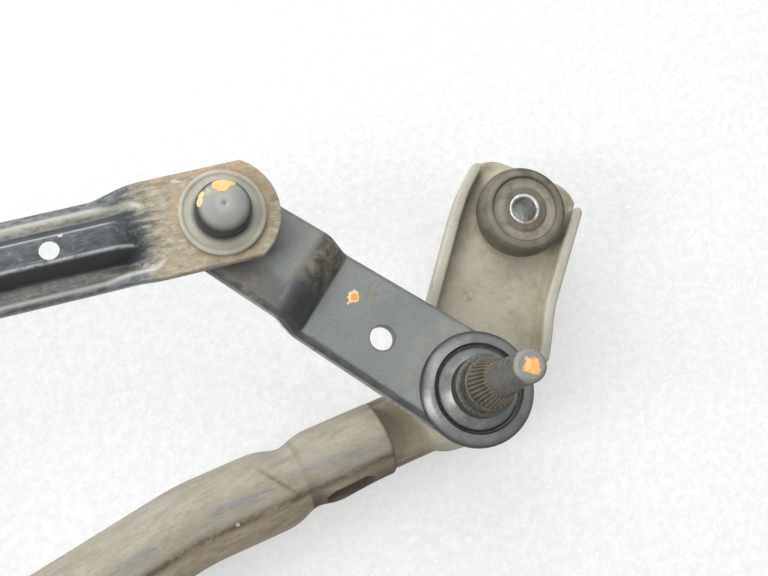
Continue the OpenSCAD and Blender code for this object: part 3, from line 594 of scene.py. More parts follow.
def tube_finish(name, colours):
    """Dusty tube: grey-beige with short streaks along it, blue-grey rubbed patches on top, a ragged dark
    brown line with brown grime and painted shade on the lower side below it, dark dents and creases."""
    f = Finish(name)
    flow = f.mark("flow", vector=True)
    along = f.noise(420.0, 6.0, 0.72, (0.3, 1.0, 1.0), flow)
    cloud = f.noise(85.0, 5.0, 0.6, (0.5, 1.0, 1.0), flow)
    grain = f.noise(1500.0, 5.0, 0.72, (0.45, 1.0, 1.0), flow)
    ragged = f.plus(f.times(f.plus(along, -0.5), 0.7), f.times(f.plus(grain, -0.5), 0.35))
    streaks = f.plus(along, f.times(grain, 0.6))
    base = f.mix(f.band(streaks, 0.6, 1.0), tone(146, 139, 123), colour(colours.tube))
    base = f.mix(f.times(f.band(cloud, 0.5, 0.68), 0.5), base, tone(158, 156, 148))
    # Lower side of the tube below the stain line: brown grime and painted shade together.
    low = f.band(f.plus(f.mark("under"), ragged), 0.25, 0.75)
    crust = f.band(f.plus(along, f.times(grain, 0.3)), 0.48, 0.8)
    dirt_and_shade = f.mix(crust, tone(142, 130, 110), tone(178, 166, 144))
    base = f.mix(low, base, dirt_and_shade)
    blue = f.times(f.mark("rubbed"), f.band(f.plus(f.plus(cloud, f.times(along, 0.3)), ragged), 0.58, 0.72))
    base = f.mix(f.times(blue, 0.85), base, tone(122, 123, 126))
    brown = f.times(f.mark("stain"), f.band(streaks, 0.6, 0.9))
    base = f.mix(f.times(brown, 0.9), base, tone(74, 62, 46))
    base = f.mix(f.times(f.mark("pit"), 0.9), base, tone(70, 60, 50))
    base = f.mix(f.times(f.mark("crease"), f.band(grain, 0.3, 0.55)), base, tone(96, 84, 66))
    base = f.mix(f.times(f.band(grain, 0.56, 0.68), 0.35), base, tone(116, 106, 88))
    rust = f.band(f.noise(340.0, 5.0, 0.7, place=flow), 0.69, 0.77)
    base = f.mix(f.times(rust, 0.4), base, tone(160, 122, 82))
    base = f.mix(f.near((-66.2, -16.1, 30.4), 0.6, 0.8), base, tone(180, 178, 170))
    rough = f.plus(0.52, f.times(f.plus(along, f.times(grain, 0.5)), 0.25))
    bump = f.plus(f.times(along, 0.9), f.times(grain, 0.9))
    return f.surface(base, rough, height=bump, depth=0.0003, specular=0.35)


SOCKET_DABS = (
    ((-52.4, 60.7, 63.4), 2.15, 0.45, 500.0),
    ((-49.9, 61.0, 63.0), 1.3, 0.5, 700.0),
    ((-51.2, 62.4, 62.6), 1.3, 0.5, 600.0),
    ((-57.5, 59.5, 62.6), 1.0, 0.5, 600.0),
    ((-58.0, 57.8, 62.4), 1.15, 0.5, 600.0),
)


def socket_finish(name, colours):
    """Moulded grey sockets: pale dusty flange, painted shade on the dome's side, rubbed crown with a pip,
    two paint dabs.
    """
    f = Finish(name)
    cloud = f.noise(160.0, 5.0, 0.6)
    grain = f.noise(1500.0, 4.0, 0.7)
    base = f.mix(f.band(cloud, 0.35, 0.7), colour(colours.socket), tone(154, 156, 149))
    patches = f.band(f.plus(cloud, f.times(grain, 0.3)), 0.5, 0.85)
    flange = f.mix(patches, tone(164, 161, 146), tone(180, 178, 165))
    base = f.mix(f.mark("flange"), base, flange)
    base = f.mix(f.times(f.mark("groove"), 0.5), base, tone(118, 108, 88))
    # Painted shade: the dome's side wall darkened all round.
    base = f.mix(f.times(f.mark("side"), 0.95), base, tone(46, 44, 41))
    base = f.mix(f.times(f.mark("crown"), 0.7), base, tone(162, 162, 153))
    base = f.mix(f.times(f.mark("pip"), 0.85), base, tone(88, 84, 77))
    dab = f.near(*SOCKET_DABS[0])
    for spot in SOCKET_DABS[1:]:
        dab = f.most(dab, f.near(*spot))
    fleck = f.times(f.near((-55.5, 59.6, 63.5), 1.5, 0.8), f.band(f.noise(900.0, 3.0), 0.48, 0.6))
    base = f.mix(f.times(fleck, 0.6), base, tone(192, 184, 150))
    paint = f.mix(f.band(f.noise(600.0, 4.0), 0.42, 0.68), colour(colours.dab), tone(230, 174, 104))
    base = f.mix(dab, base, paint)
    rough = f.plus(0.46, f.times(f.plus(cloud, grain), 0.15))
    return f.surface(base, rough, height=f.plus(f.times(grain, 0.4), dab), depth=0.00012, specular=0.4)


def rubber_finish(name, colours):
    """Dusty rubber: painted shade on the lip's inner side and a painted contact shadow where it meets the
    plate, brown-grey dust in the well and on the flats.
    """
    f = Finish(name)
    cloud = f.noise(210.0, 6.0, 0.65)
    grain = f.noise(1600.0, 4.0, 0.7)
    base = f.mix(f.band(cloud, 0.35, 0.68), colour(colours.rubber), tone(108, 103, 91))
    dust = f.times(f.mark("dusty"), f.band(f.plus(cloud, f.times(grain, 0.3)), 0.36, 0.68))
    base = f.mix(dust, base, tone(154, 148, 129))
    # Painted shade on the lip's inner wall and a painted contact shadow where the mount meets its plate.
    base = f.mix(f.times(f.mark("dark"), 0.8), base, tone(62, 58, 50))
    rough = f.plus(0.55, f.times(grain, 0.3))
    return f.surface(base, rough, height=f.plus(cloud, f.times(grain, 0.6)), depth=0.00016, specular=0.4)


def zinc_finish(name, colours):
    """Dull plated steel: grey bloom, brown dust and a few rust flecks."""
    f = Finish(name)
    cloud = f.noise(420.0, 5.0, 0.65)
    grain = f.noise(1500.0, 4.0, 0.7)
    base = f.mix(f.band(cloud, 0.36, 0.64), tone(158, 157, 150), tone(206, 207, 202))
    rust = f.times(f.near((29.8, 40.4, 32.0), 1.8, 1.0, 700.0), f.band(grain, 0.4, 0.6))
    base = f.mix(rust, base, tone(156, 104, 62))
    rough = f.plus(0.2, f.times(f.plus(cloud, grain), 0.12))
    return f.surface(base, rough, metal=0.85, height=f.plus(cloud, grain), depth=0.0001)


def spindle_finish(name, colours):
    """Dark spindle: brown collar, rusty spline with dark roots, grey thread, painted end."""
    f = Finish(name)
    cloud = f.noise(260.0, 6.0, 0.7)
    fine = f.noise(1700.0, 4.0, 0.7, (1.0, 1.0, 0.45))
    base = f.mix(f.band(cloud, 0.36, 0.68), tone(46, 44, 41), tone(68, 66, 60))
    rust = f.times(f.mark("spline"), f.band(f.plus(cloud, f.times(fine, 0.5)), 0.5, 0.9))
    base = f.mix(f.mark("spline"), base, tone(74, 70, 62))
    base = f.mix(rust, base, tone(122, 112, 96))
    patches = f.band(f.plus(cloud, f.times(fine, 0.3)), 0.45, 0.8)
    thread = f.mix(patches, tone(68, 67, 63), tone(106, 105, 99))
    base = f.mix(f.mark("thread"), base, thread)
    base = f.mix(f.times(f.mark("root"), 0.75), base, tone(46, 42, 37))
    crest = f.times(f.mark("crest"), f.band(fine, 0.35, 0.6))
    base = f.mix(f.times(crest, 0.4), base, tone(142, 138, 128))
    base = f.mix(f.mark("tip"), base, tone(134, 134, 129))
    spot = f.times(f.near((-0.1, 0.05, 85.5), 1.95, 1.0, 500.0), f.mark("tip"))
    paint = f.mix(f.band(f.noise(700.0, 4.0), 0.4, 0.6), tone(236, 196, 134), tone(230, 164, 92))
    base = f.mix(spot, base, paint)
    rough = f.plus(0.4, f.times(f.plus(cloud, rust), 0.25))
    return f.surface(base, rough, metal=0.25, height=f.plus(fine, cloud), depth=0.00012)


def cap_finish(name, colours):
    """Black dust cap: satin, its rings' tops lighter grey from dust and a painted sheen, dark in its grooves
    and at its rim.
    """
    f = Finish(name)
    cloud = f.noise(140.0, 5.0, 0.6)
    grain = f.noise(1700.0, 4.0, 0.7)
    patches = f.band(f.plus(cloud, f.times(grain, 0.3)), 0.5, 0.82)
    film = f.mix(patches, tone(88, 91, 92), tone(120, 121, 117))
    # Rings' tops lighter grey: dust and a painted sheen together; the grooves and the rim stay black.
    base = f.mix(f.mark("film"), colour(colours.cap), film)
    base = f.mix(f.times(f.mark("dusty"), f.band(grain, 0.4, 0.65)), base, tone(96, 90, 78))
    rough = f.plus(0.18, f.times(f.plus(cloud, grain), 0.08))
    return f.surface(base, rough, height=f.plus(grain, cloud), depth=0.00004, specular=0.75)


def bracket_paint(name, colours):
    """Black paint of the motor bracket: satin, dust on its flats, worn edges."""
    f = Finish(name)
    cloud = f.noise(55.0, 6.0, 0.62)
    fine = f.noise(1300.0, 4.0, 0.7)
    base = f.mix(f.band(cloud, 0.35, 0.7), colour(colours.paint), tone(60, 63, 66))
    dust = f.band(f.plus(cloud, f.times(fine, 0.3)), 0.62, 0.92)
    base = f.mix(f.times(dust, 0.5), base, tone(122, 112, 94))
    marks = scratches(f, f.here, 330.0, ((0.15, 2.0, 1.0), (2.0, 0.2, 1.0)))
    base = f.mix(f.times(marks, 0.25), base, tone(150, 152, 152))
    # Bare steel where the bracket's edges are worn; nothing painted here.
    wear_and_highlight = f.times(f.mark("edge"), f.band(f.noise(420.0, 5.0, 0.7), 0.46, 0.58))
    base = f.mix(f.times(wear_and_highlight, 0.7), base, colour(colours.steel))
    rough = f.plus(0.36, f.times(f.plus(dust, fine), 0.24))
    return f.surface(base, rough, height=f.plus(fine, cloud), depth=0.00012)


def ball_steel(name, colours):
    """Turned steel with dull grease."""
    f = Finish(name)
    cloud = f.noise(240.0, 5.0, 0.65)
    rings = f.noise(900.0, 3.0, 0.6, (0.1, 0.1, 2.0))
    base = f.mix(f.band(cloud, 0.38, 0.7), tone(120, 118, 112), tone(168, 168, 164))
    return f.surface(base, f.plus(0.24, f.times(cloud, 0.3)), metal=0.8, height=rings, depth=0.00005)


def bronze_finish(name, colours):
    """Sintered bronze: pores and oil."""
    f = Finish(name)
    pores = f.noise(1400.0, 4.0, 0.7)
    base = f.mix(f.band(pores, 0.4, 0.62), tone(96, 70, 40), tone(172, 134, 84))
    return f.surface(base, f.plus(0.35, f.times(pores, 0.2)), metal=0.7, height=pores, depth=0.0001)


def seal_rubber(name, colours):
    """Plain black sealing rubber with a grease film."""
    f = Finish(name)
    film = f.noise(500.0, 4.0, 0.6)
    base = f.mix(f.band(film, 0.4, 0.65), tone(26, 26, 27), tone(48, 47, 46))
    return f.surface(base, f.plus(0.35, f.times(film, 0.25)), height=film, depth=0.00005)


def washer_nylon(name, colours):
    """Greased nylon: cream with brown smears."""
    f = Finish(name)
    smear = f.noise(330.0, 5.0, 0.65)
    base = f.mix(f.band(smear, 0.42, 0.68), tone(206, 198, 178), tone(142, 122, 92))
    return f.surface(base, f.plus(0.4, f.times(smear, 0.2)), height=smear, depth=0.00005)


def clip_steel(name, colours):
    """Blackened spring steel, worn to grey."""
    f = Finish(name)
    wear = f.noise(520.0, 5.0, 0.65)
    base = f.mix(f.band(wear, 0.45, 0.66), tone(44, 44, 46), tone(122, 122, 120))
    return f.surface(base, f.plus(0.3, f.times(wear, 0.25)), metal=0.6, height=wear, depth=0.00005)


# Shapes

LINK_KNOTS = (0.0, 2.8, 5.9, 6.6, 8.6, 9.3, 10.9)
LINK_HALF = 10.9
EYE_HALF = 12.1
EYE_R = 14.2
LINK_T = 2.0
EYE_UNDER_BALL = 2.2
WEB_RISE = 3.3
FOOT_DROP = 3.4
DRAIN_HOLE_AT = 41.0
DRAIN_HOLE_R = 2.4
SOCKET_HOLE_R = 7.5


def section_weights(across):
    """Rounded hat functions of the link's section knots, at distances from its middle line: straight hats on
    a fine scale, blurred by a bell of 0.33 mm."""
    fine = np.arange(-3.0, 15.0, 0.05)
    kernel = bell(np.arange(-1.0, 1.001, 0.05), 0.33)
    kernel /= kernel.sum()
    weights = []
    for i in range(len(LINK_KNOTS)):
        hat = np.interp(np.abs(fine), LINK_KNOTS, np.eye(len(LINK_KNOTS))[i])
        hat = np.convolve(np.pad(hat, 20, mode="edge"), kernel, mode="valid")
        weights.append(np.interp(across, fine, hat))
    return weights


def on_both_sides(marks):
    """Marks of a grid, listed for the points of a sheet's top and again for its underside."""
    return {name: np.concatenate([m.reshape(-1, *m.shape[2:])] * 2) for name, m in marks.items()}


def link_surface(length, hole_at):
    """Pressed link from ball to ball along X, eyes' top at z = 0. Rows run across it. Height is the sum of
    the section's hats, each with its own rise along the link: web, wall foot, flange crest and lip."""
    corner = math.sqrt(EYE_R**2 - EYE_HALF**2)
    fan = np.arange(3.0, 59.0, 2.2)
    nose = -EYE_R * np.cos(np.radians(fan[EYE_R * np.cos(np.radians(fan)) > corner + 0.05]))
    near = spaced((-corner, 13.0, 0.9), (13.0, 34.0, 0.45), (34.0, 37.0, 1.0))
    hole_rows = spaced((length - hole_at - 4.0, length - hole_at + 3.5, 0.25))
    middle = spaced((37.0, length - hole_at - 4.0, 5.0))
    tail = length - spaced((37.0, 34.0, 1.0), (34.0, 13.0, 0.45), (13.0, -corner, 0.9))
    x = np.unique(np.round(np.concatenate([nose, near, middle, hole_rows, tail, length - nose[::-1]]), 4))
    u = np.minimum(x, length - x)
    beyond = np.sqrt(np.clip(EYE_R**2 - np.minimum(u, 0.0) ** 2, 0.0, None))
    half = np.minimum(beyond, EYE_HALF - (EYE_HALF - LINK_HALF) * ease((u - 16.0) / 15.0))
    v = np.linspace(-1.0, 1.0, 101)
    y = half[:, None] * v[None, :]
    scaled = np.abs(y) * np.where(u > 0, LINK_HALF / half, LINK_HALF / EYE_HALF)[:, None]
    weights = section_weights(scaled)
    web = ease((u - 18.5) / 8.0)
    foot = ease((u - 16.5) / 8.0)
    crest = ease((u - 17.0) / 14.0)
    lip = ease((u - 20.0) / 11.0)
    web_rise = WEB_RISE * web
    foot_rise = -FOOT_DROP * foot
    rise = [web_rise, web_rise, foot_rise, foot_rise, -3.0 * crest, -3.3 * crest, -4.4 * lip]
    z = sum(r[:, None] * w for r, w in zip(rise, weights))
    round_border = EYE_R - np.hypot(np.minimum(u, 0.0)[:, None], y)
    border = np.where(u[:, None] < -corner, round_border, half[:, None] - np.abs(y))
    z = z - 0.4 * (1.0 - np.sqrt(1.0 - (1.0 - np.clip(border / 0.6, 0.0, 1.0)) ** 2))
    across = np.broadcast_to(x[:, None], y.shape)
    top = np.stack([across, y, z], axis=-1)
    slope = np.gradient(z, axis=1) / np.maximum(np.gradient(y, axis=1), 1e-6)
    bottom = np.stack([across, y, z - LINK_T * np.minimum(np.sqrt(1.0 + slope**2), 1.3)], axis=-1)
    eye_holes = ((0.0, 0.0, SOCKET_HOLE_R), (length, 0.0, SOCKET_HOLE_R))
    points, faces = shell(top, bottom, ((length - hole_at, 0.0, DRAIN_HOLE_R), *eye_holes))
    on = np.abs(y) * (LINK_HALF / np.maximum(half, 1.0))[:, None]
    tip = u[:, None] + np.where(y < 0, 2.6, 0.0)
    fold = np.where(y < 0, 9.5, 8.4) - 1.0 * ease((31.0 - u) / 8.0)[:, None]
    fold = fold - 1.7 * np.clip((22.0 - tip) / 3.8, 0.0, 1.0) ** 2
    # bright: painted highlights along the web's edges, full on the -Y side, three quarters on the +Y side.
    bright = bell(on - np.where(y < 0, 2.85, 3.2), 0.28) * np.where(y < 0, 1.0, 0.75)
    bright = bright * ease((u[:, None] - np.where(y < 0, 20.5, 24.5)) / 2.5)
    # wall: painted shade on the channel walls, full on the -Y side, half on the +Y side.
    wall = ease((on - 3.0) / 0.5) * ease((6.3 - on) / 1.2) * np.where(y < 0, 1.0, 0.5) * foot[:, None]
    channel = np.clip((u[:, None] - 11.0 - 2.5 * ease((np.abs(y) - 4.0) / 4.0)) / 13.0, 0.0, 1.0)
    upper_half = ease(0.5 + y / 9.0)
    at_socket = bell(np.hypot(u[:, None], y) - 11.2, 1.0)
    rust = bell(border, 1.6) * upper_half + at_socket * (0.35 + 0.65 * upper_half)
    dusty = ease((on - 5.6) / 1.6) * ease((9.0 - on) / 0.8) * crest[:, None]
    crest_width = np.where((y > 0) & (on < fold), 0.85, 0.5)
    marks = {
        "flow": np.stack([across, y, z], axis=-1) * MM,
        "bright": bright,
        # crest: painted highlight along the flange folds.
        "crest": bell(on - fold, crest_width) * ease((tip - 17.8) / 0.8),
        "wall": wall,
        "dusty": dusty * np.where(y < 0, 0.5, 0.9),
        "lip": ease((on - 8.9) / 0.5) * lip[:, None],
        "eye": 1.0 - channel,
        "rust": rust * (u < 15.0)[:, None],
    }
    both = on_both_sides(marks)
    both["cut"] = np.concatenate([np.zeros(y.size), (border < 0.2).ravel().astype(float)])
    return points, faces, both


LEVER_T = 3.2
LEVER_HALF = (13.8, 11.6)
JOG_START = 45.2
JOG_H = 8.0
JOG_SLOPE = math.radians(55.0)
JOG_BEND = 3.0
EDGE_WIDE = 3.0
EDGE_DEEP = 1.9
GAUGE_HOLE = (27.5, 1.5, 3.2)


def lever_surface(length, back):
    """Jogged lever along X from its tail past the spindle to its nose past the tie ball, top of the spindle
    end at z = 0. A flat strip bent along a path, whose upper edge drops in a quarter ellipse."""
    mid = -LEVER_T / 2
    taper = (LEVER_HALF[1] - LEVER_HALF[0]) / length
    tail = LEVER_HALF[0] + taper * back
    nose = LEVER_HALF[1]
    tangent = JOG_BEND * math.tan(JOG_SLOPE / 2)
    run = 2 * tangent + (JOG_H - 2 * JOG_BEND * (1 - math.cos(JOG_SLOPE))) / math.tan(JOG_SLOPE)
    run -= 2 * JOG_BEND * (math.tan(JOG_SLOPE / 2) - math.sin(JOG_SLOPE))
    start = -back - tail
    line = bent_line([(start, mid), (JOG_START + tangent, mid), (JOG_START + run - tangent, mid + JOG_H),
                      (length + nose, mid + JOG_H)], JOG_BEND, 0.12)
    total = along_line(line, np.zeros(1))[2]
    fan = np.radians(spaced((2.0, 20.0, 2.0), (20.0, 90.0, 4.0)))
    hole_x, hole_y, hole_r = GAUGE_HOLE
    hole_at = hole_x - start
    jog_at = JOG_START - start
    s = np.concatenate([
        tail * (1 - np.cos(fan)),
        np.arange(tail, hole_at - 5.0, 1.0),
        np.arange(hole_at - 5.0, hole_at + 5.0, 0.3),
        np.arange(hole_at + 5.0, jog_at - 1.0, 1.0),
        np.arange(jog_at - 1.0, jog_at + 13.0, 0.25),
        np.arange(jog_at + 13.0, total - nose, 1.0),
        total - nose * (1 - np.cos(fan)),
    ])
    s = np.unique(np.round(s, 4))
    place, heading, total = along_line(line, s)
    x = place[:, 0]
    flat = np.where(s < tail, x + back, np.where(s > total - nose, x - length, 0.0))
    end = np.where(s < tail, tail, nose)
    round_half = np.sqrt(np.clip(end**2 - flat**2, 0.0, None))
    half = np.where(flat != 0.0, round_half, LEVER_HALF[0] + taper * np.abs(x))
    v = np.sin(np.linspace(-1.0, 1.0, 97) * np.pi / 2)
    y = half[:, None] * (v * np.where(v > 0, 1.035, 1.0))[None, :]
    round_border = end[:, None] - np.hypot(flat[:, None], y)
    border = np.where(flat[:, None] != 0.0, round_border, half[:, None] - np.abs(y))
    drop = EDGE_DEEP * (1.0 - np.sqrt(1.0 - (1.0 - np.clip(border / EDGE_WIDE, 0.0, 1.0)) ** 2))
    lift = LEVER_T / 2 - drop
    sine, cosine = np.sin(heading)[:, None], np.cos(heading)[:, None]
    top = np.stack([x[:, None] - sine * lift, y, place[:, 1:] + cosine * lift], axis=-1)
    under = -LEVER_T / 2 + 0.15 * bell(border, 0.3)
    bottom = np.stack([x[:, None] - sine * under, y, place[:, 1:] + cosine * under], axis=-1)
    points, faces = shell(top, bottom, (GAUGE_HOLE,))
    wide = np.ones_like(y)
    # Darker on the jog's slope; past the jog toward +Y, a painted shadow of the tie link.
    on_slope = ease((x - JOG_START + 0.8) / 3.6) * ease((JOG_START + run + 5.0 - x) / 9.0)
    slope = on_slope[:, None] * wide
    slope = np.maximum(slope, 0.55 * ease((x - JOG_START - 4.0) / 6.0)[:, None] * ease((y + 1.0) / 7.0))
    # Painted shade along the edges, nearly full on the +Y side and half on the -Y side, and a dark ring
    # round the gauge hole.
    edge = bell(border - 0.4, 1.5) * np.where(y > 0, 0.95, 0.5)
    edge = np.maximum(edge, bell(np.hypot(x[:, None] - hole_x, y - hole_y) - hole_r, 0.35))
    on_jog = bell(x - (JOG_START + run * 0.7), 4.5)[:, None] * ease(0.5 - y / 9.0)
    beyond = bell(x - (JOG_START + run + 9.0), 5.0)[:, None] * ease((y - 1.0) / 6.0) * 0.8
    marks = {
        "flow": np.stack([s[:, None] * wide, y, 0.0 * y], axis=-1) * MM,
        "grime": np.maximum(on_jog, beyond),
        "wiped_and_shaded": np.maximum(slope, edge),
        "grains": ease((24.0 - np.abs(x)) / 10.0)[:, None] * wide,
    }
    both = on_both_sides(marks)
    both["cut"] = np.concatenate([(border < 0.02).ravel() * 0.35, (border < 0.25).ravel() * 1.0])
    return points, faces, both


TUBE_AXIS_Z = 20.0
TUBE_START = 23.5
SPIGOT_ANGLE = math.radians(188.0)
SPIGOT_OFFSET = -2.4
FIRST_BEND = 77.0
RUN_ANGLE = math.radians(16.5)
BOW = 45.5
BEND_R = 60.0
STRAP_Z = 8.75
CRIMP_AT = 24.7
DENT_AT = 13.3
DENT_TURNS = (math.radians(62.0), math.radians(242.0))
DENT_DEEP = 2.3
END_TAPER = 2.2
END_ROUND = 1.1
WALL = 0.5


def tube_line(span):
    """The tube's axis in plan, from its right end to its left end."""
    direction = np.array([math.cos(SPIGOT_ANGLE), math.sin(SPIGOT_ANGLE)])
    start = np.array([0.0, SPIGOT_OFFSET]) + TUBE_START * direction
    first = np.array([0.0, SPIGOT_OFFSET]) + FIRST_BEND * direction
    long_run = (BOW + first[1]) / math.sin(RUN_ANGLE)
    second = first - long_run * np.array([math.cos(RUN_ANGLE), math.sin(RUN_ANGLE)])
    right = [start, first, second]
    left = [np.array([-span - p[0], p[1]]) for p in right[::-1]]
    return bent_line(right + left, BEND_R)


def tube_surface(span, radius):
    """Tube swept along its axis: radius less a skewed two-sided crimp, a crease, a one-sided taper and two
    punched oval dents at each end. Angle q runs from the top toward -Y."""
    line = tube_line(span)
    total = along_line(line, np.zeros(1))[2]
    near = spaced((0.0, 1.2, 0.12), (1.2, 44.0, 0.4), (44.0, 90.0, 1.6))
    s = np.concatenate([near, spaced((90.0, total - 90.0, 4.0))[1:-1], total - near[::-1]])
    place, heading, total = along_line(line, s)
    q = np.arange(112) * 2 * np.pi / 112
    e = np.minimum(s, total - s)[:, None]
    side = np.sin(q)[None, :]
    crimp = bell(e - (CRIMP_AT - 1.9 * side), 4.3) * (0.62 + 0.55 * np.abs(side) ** 1.5)
    r = radius - 1.5 * crimp
    for centre in DENT_TURNS:
        away = np.angle(np.exp(1j * (q[None, :] - centre))) * radius
        run = np.maximum(np.abs(e - DENT_AT) - 3.2, 0.0)
        span_out = np.sqrt(run**2 + (away * 1.05) ** 2)
        bowl = np.sqrt(np.clip(1.0 - (span_out / 4.1) ** 2, 0.0, 1.0)) * ease((4.3 - span_out) / 1.4)
        r = r - DENT_DEEP * bowl
    near_top = bell(np.angle(np.exp(1j * q)) + 0.1, 0.5)[None, :]
    crease = bell(e - (CRIMP_AT + 5.0 - 7.5 * side), 0.5) * near_top
    r = r - 0.35 * crease - END_TAPER * np.clip(side, 0.0, 1.0) * ease((34.0 - e) / 32.0)
    r = r - END_ROUND * (1.0 - np.sqrt(1.0 - np.clip(1.0 - e / END_ROUND, 0.0, 1.0) ** 2))
    across = np.stack([np.sin(heading), -np.cos(heading)], axis=-1)
    flip = np.where(across[:, 1] > 0, -1.0, 1.0)[:, None]
    across = across * flip
    xy = place[:, None, :] + across[:, None, :] * (r * side)[..., None]
    z = TUBE_AXIS_Z + r * np.cos(q)[None, :]
    outer = np.concatenate([xy, z[..., None]], axis=-1)
    mouth = []
    for index in (0, -1):
        inner_r = r[index] - WALL
        xy = place[index][None] + across[index][None] * (inner_r * np.sin(q))[:, None]
        mouth.append(np.concatenate([xy, (TUBE_AXIS_Z + inner_r * np.cos(q))[:, None]], axis=-1)[None])
    points = np.concatenate([mouth[0], outer, mouth[1]])
    faces = grid_faces(*points.shape[:2], close_columns=True)
    wave = np.concatenate([s[:1], s, s[-1:]])[:, None]
    angle = np.broadcast_to(q[None, :], points.shape[:2])
    turn = np.angle(np.exp(1j * angle))
    pit = np.clip((radius - 0.7 - np.concatenate([r[:1], r, r[-1:]])) / 1.4, 0.0, 1.0)
    pit = pit * (np.minimum(wave, total - wave) < 24.0)
    lengths = np.broadcast_to(wave, angle.shape)
    marks = {
        "flow": np.stack([lengths, radius * np.sin(angle), radius * np.cos(angle)], axis=-1) * MM,
        "rubbed": bell(turn + math.radians(2.0), 0.15),
        "stain": bell(turn - math.radians(24.0), 0.13),
        # under: the tube's lower side toward -Y, which gets brown grime and painted shade.
        "under": ease((turn - math.radians(14.0)) / math.radians(16.0)),
        "pit": pit,
        "crease": np.concatenate([crease[:1], crease, crease[-1:]]),
    }
    marks = {name: m.reshape(-1, *m.shape[2:]) for name, m in marks.items()}
    return points, faces, marks


PLATE_LOW = 18.0
PLATE_TOP = 23.0
PLATE_MIDDLE = (PLATE_LOW + PLATE_TOP) / 2
RIB_TOP = 28.5
RIB_HALF = 1.4
RIB_LEAN = 0.13
BOSS_R = 13.0
BOSS_TOP = 34.0
MOUNT_BORE_R = 8.5


def left_rib(along):
    """Middle line of the left rib's distance from the arm's axis: slowly out, then in at its tip."""
    return 15.0 + 0.042 * np.minimum(along, 46.0) - 1.5 * np.clip((along - 50.0) / 11.2, 0.0, 2.0) ** 2


def right_rib(along):
    """Middle line of the right rib's distance from the arm's axis: it flares out toward the boss."""
    return 15.25 + 2.4 * ease((34.0 - along) / 19.0)


def housing_field(x, y, z, arm_angle, arm_length):
    """Signed distance of a cast pivot housing: boss, plate, two ribs, mount seat and tube neck, joined by
    fillets."""
    along, across = turned(x, y, arm_angle)
    lean = RIB_LEAN * (RIB_TOP - z)
    inner = np.minimum(along, 50.0)
    sides = np.maximum(across + lean - left_rib(inner), -across - right_rib(inner))
    corner = 9.5
    out = np.maximum(along - arm_length - 13.7 + corner, -6.0)
    wide = np.abs(across) - 17.2 + corner
    past = np.hypot(np.maximum(out, 0.0), np.maximum(wide, 0.0))
    end = past + np.minimum(np.maximum(out, wide), 0.0) - corner
    outline = np.maximum(np.maximum(sides, -along), end)
    plate = meet(outline, slab(z, PLATE_LOW, PLATE_TOP), 1.2)
    axis = np.hypot(x, y)
    boss = meet(axis - BOSS_R, slab(z, 0.0, BOSS_TOP), 0.9)
    body = join(boss, plate, 3.0)
    from_mount = np.hypot(along - arm_length, across)
    seat = meet(from_mount - 13.4, slab(z, PLATE_LOW, PLATE_TOP + 0.5), 0.5)
    body = join(body, seat, 0.7)
    ribs = (
        (left_rib(along) - lean - across, 15.5, 62.3),
        (right_rib(along) + across, 15.0, 60.3),
    )
    for middle, first, last in ribs:
        thick = np.abs(middle) - RIB_HALF - 0.03 * (RIB_TOP - z)
        rib = meet(thick, slab(along, first, last), 2.0)
        rib = meet(rib, slab(z, PLATE_LOW, RIB_TOP), 0.7)
        body = join(body, rib, 1.3)
    neck_along, neck_across = turned(x, y - SPIGOT_OFFSET, SPIGOT_ANGLE)
    reach = slab(neck_along, 0.0, TUBE_START - 0.3)
    neck = slab(neck_across, -8.9, 6.2) - 0.08 * (25.0 - z)
    neck = np.maximum(meet(neck, slab(z, 12.5, 25.0), 1.6), reach)
    flange = np.maximum(slab(neck_across, -11.0, 8.0), reach)
    flange = meet(flange, slab(z, 14.8, 18.0), 0.8)
    body = join(body, join(neck, flange, 1.5), 2.6)
    plug = np.maximum(np.hypot(neck_across, z - TUBE_AXIS_Z) - 7.4, slab(neck_along, 22.8, 28.0))
    body = np.minimum(body, plug)
    body = np.maximum(body, 7.06 - axis)
    body = np.maximum(body, -np.maximum(axis - 8.05, 31.0 - z))
    body = np.maximum(body, -np.maximum(axis - 10.0, z - 5.0))
    return np.maximum(body, MOUNT_BORE_R - from_mount)


def housing_surface(arm_angle, arm_length):
    """Right housing's surface, with marks for rubbed rib tops, for grime at the ribs' feet and for a painted
    shadow of the lever on the neck.
    """
    low, high, step = (-31.0, -19.0, -1.5), (51.0, 65.0, 36.0), 0.55
    points, faces = contour(housing_field(*sample_block(low, high, step), arm_angle, arm_length), low, step)
    along, across = turned(points[:, 0], points[:, 1], arm_angle)
    foot = np.minimum(np.abs(left_rib(along) - across - 2.3), np.abs(right_rib(along) + across - 2.3))
    level = bell(points[:, 2] - 23.2, 1.0) * (along > 15.0)
    marks = {
        "crest": ease((points[:, 2] - 27.0) / 1.2) * (along > 13.5),
        # corner: grime at the ribs' feet, and on the neck a painted shadow of the lever.
        "corner": np.maximum(bell(foot, 1.0) * level, ease((-points[:, 0] - 10.0) / 4.0)),
    }
    return points, faces, marks


SHEET_HALF = 1.25
SHEET_Z = 21.25
BRACKET_X = -240.0
MOTOR_OFF = 5.0
MOTOR_Y = -8.0
MOTOR_PLATE_R = 42.0
MOTOR_HOLE_R = 16.0
MOTOR_BOLTS_R = 33.0
MOTOR_BOLT_TURNS = (90.0, 210.0, 330.0)
BOLT_HOLE_R = 3.3
STRAP_HALF = 15.0
STRAP_REACH = 57.0
STRAP_STEP = 8.0


def bracket_plan(x, y):
    """Signed distances in plan of the motor bracket's saddle and of its round motor plate."""
    off = x - BRACKET_X
    saddle = np.maximum(np.abs(off) - 44.0, slab(y + BOW, -21.55, 24.0))
    return saddle, np.hypot(off - MOTOR_OFF, y - MOTOR_Y) - MOTOR_PLATE_R


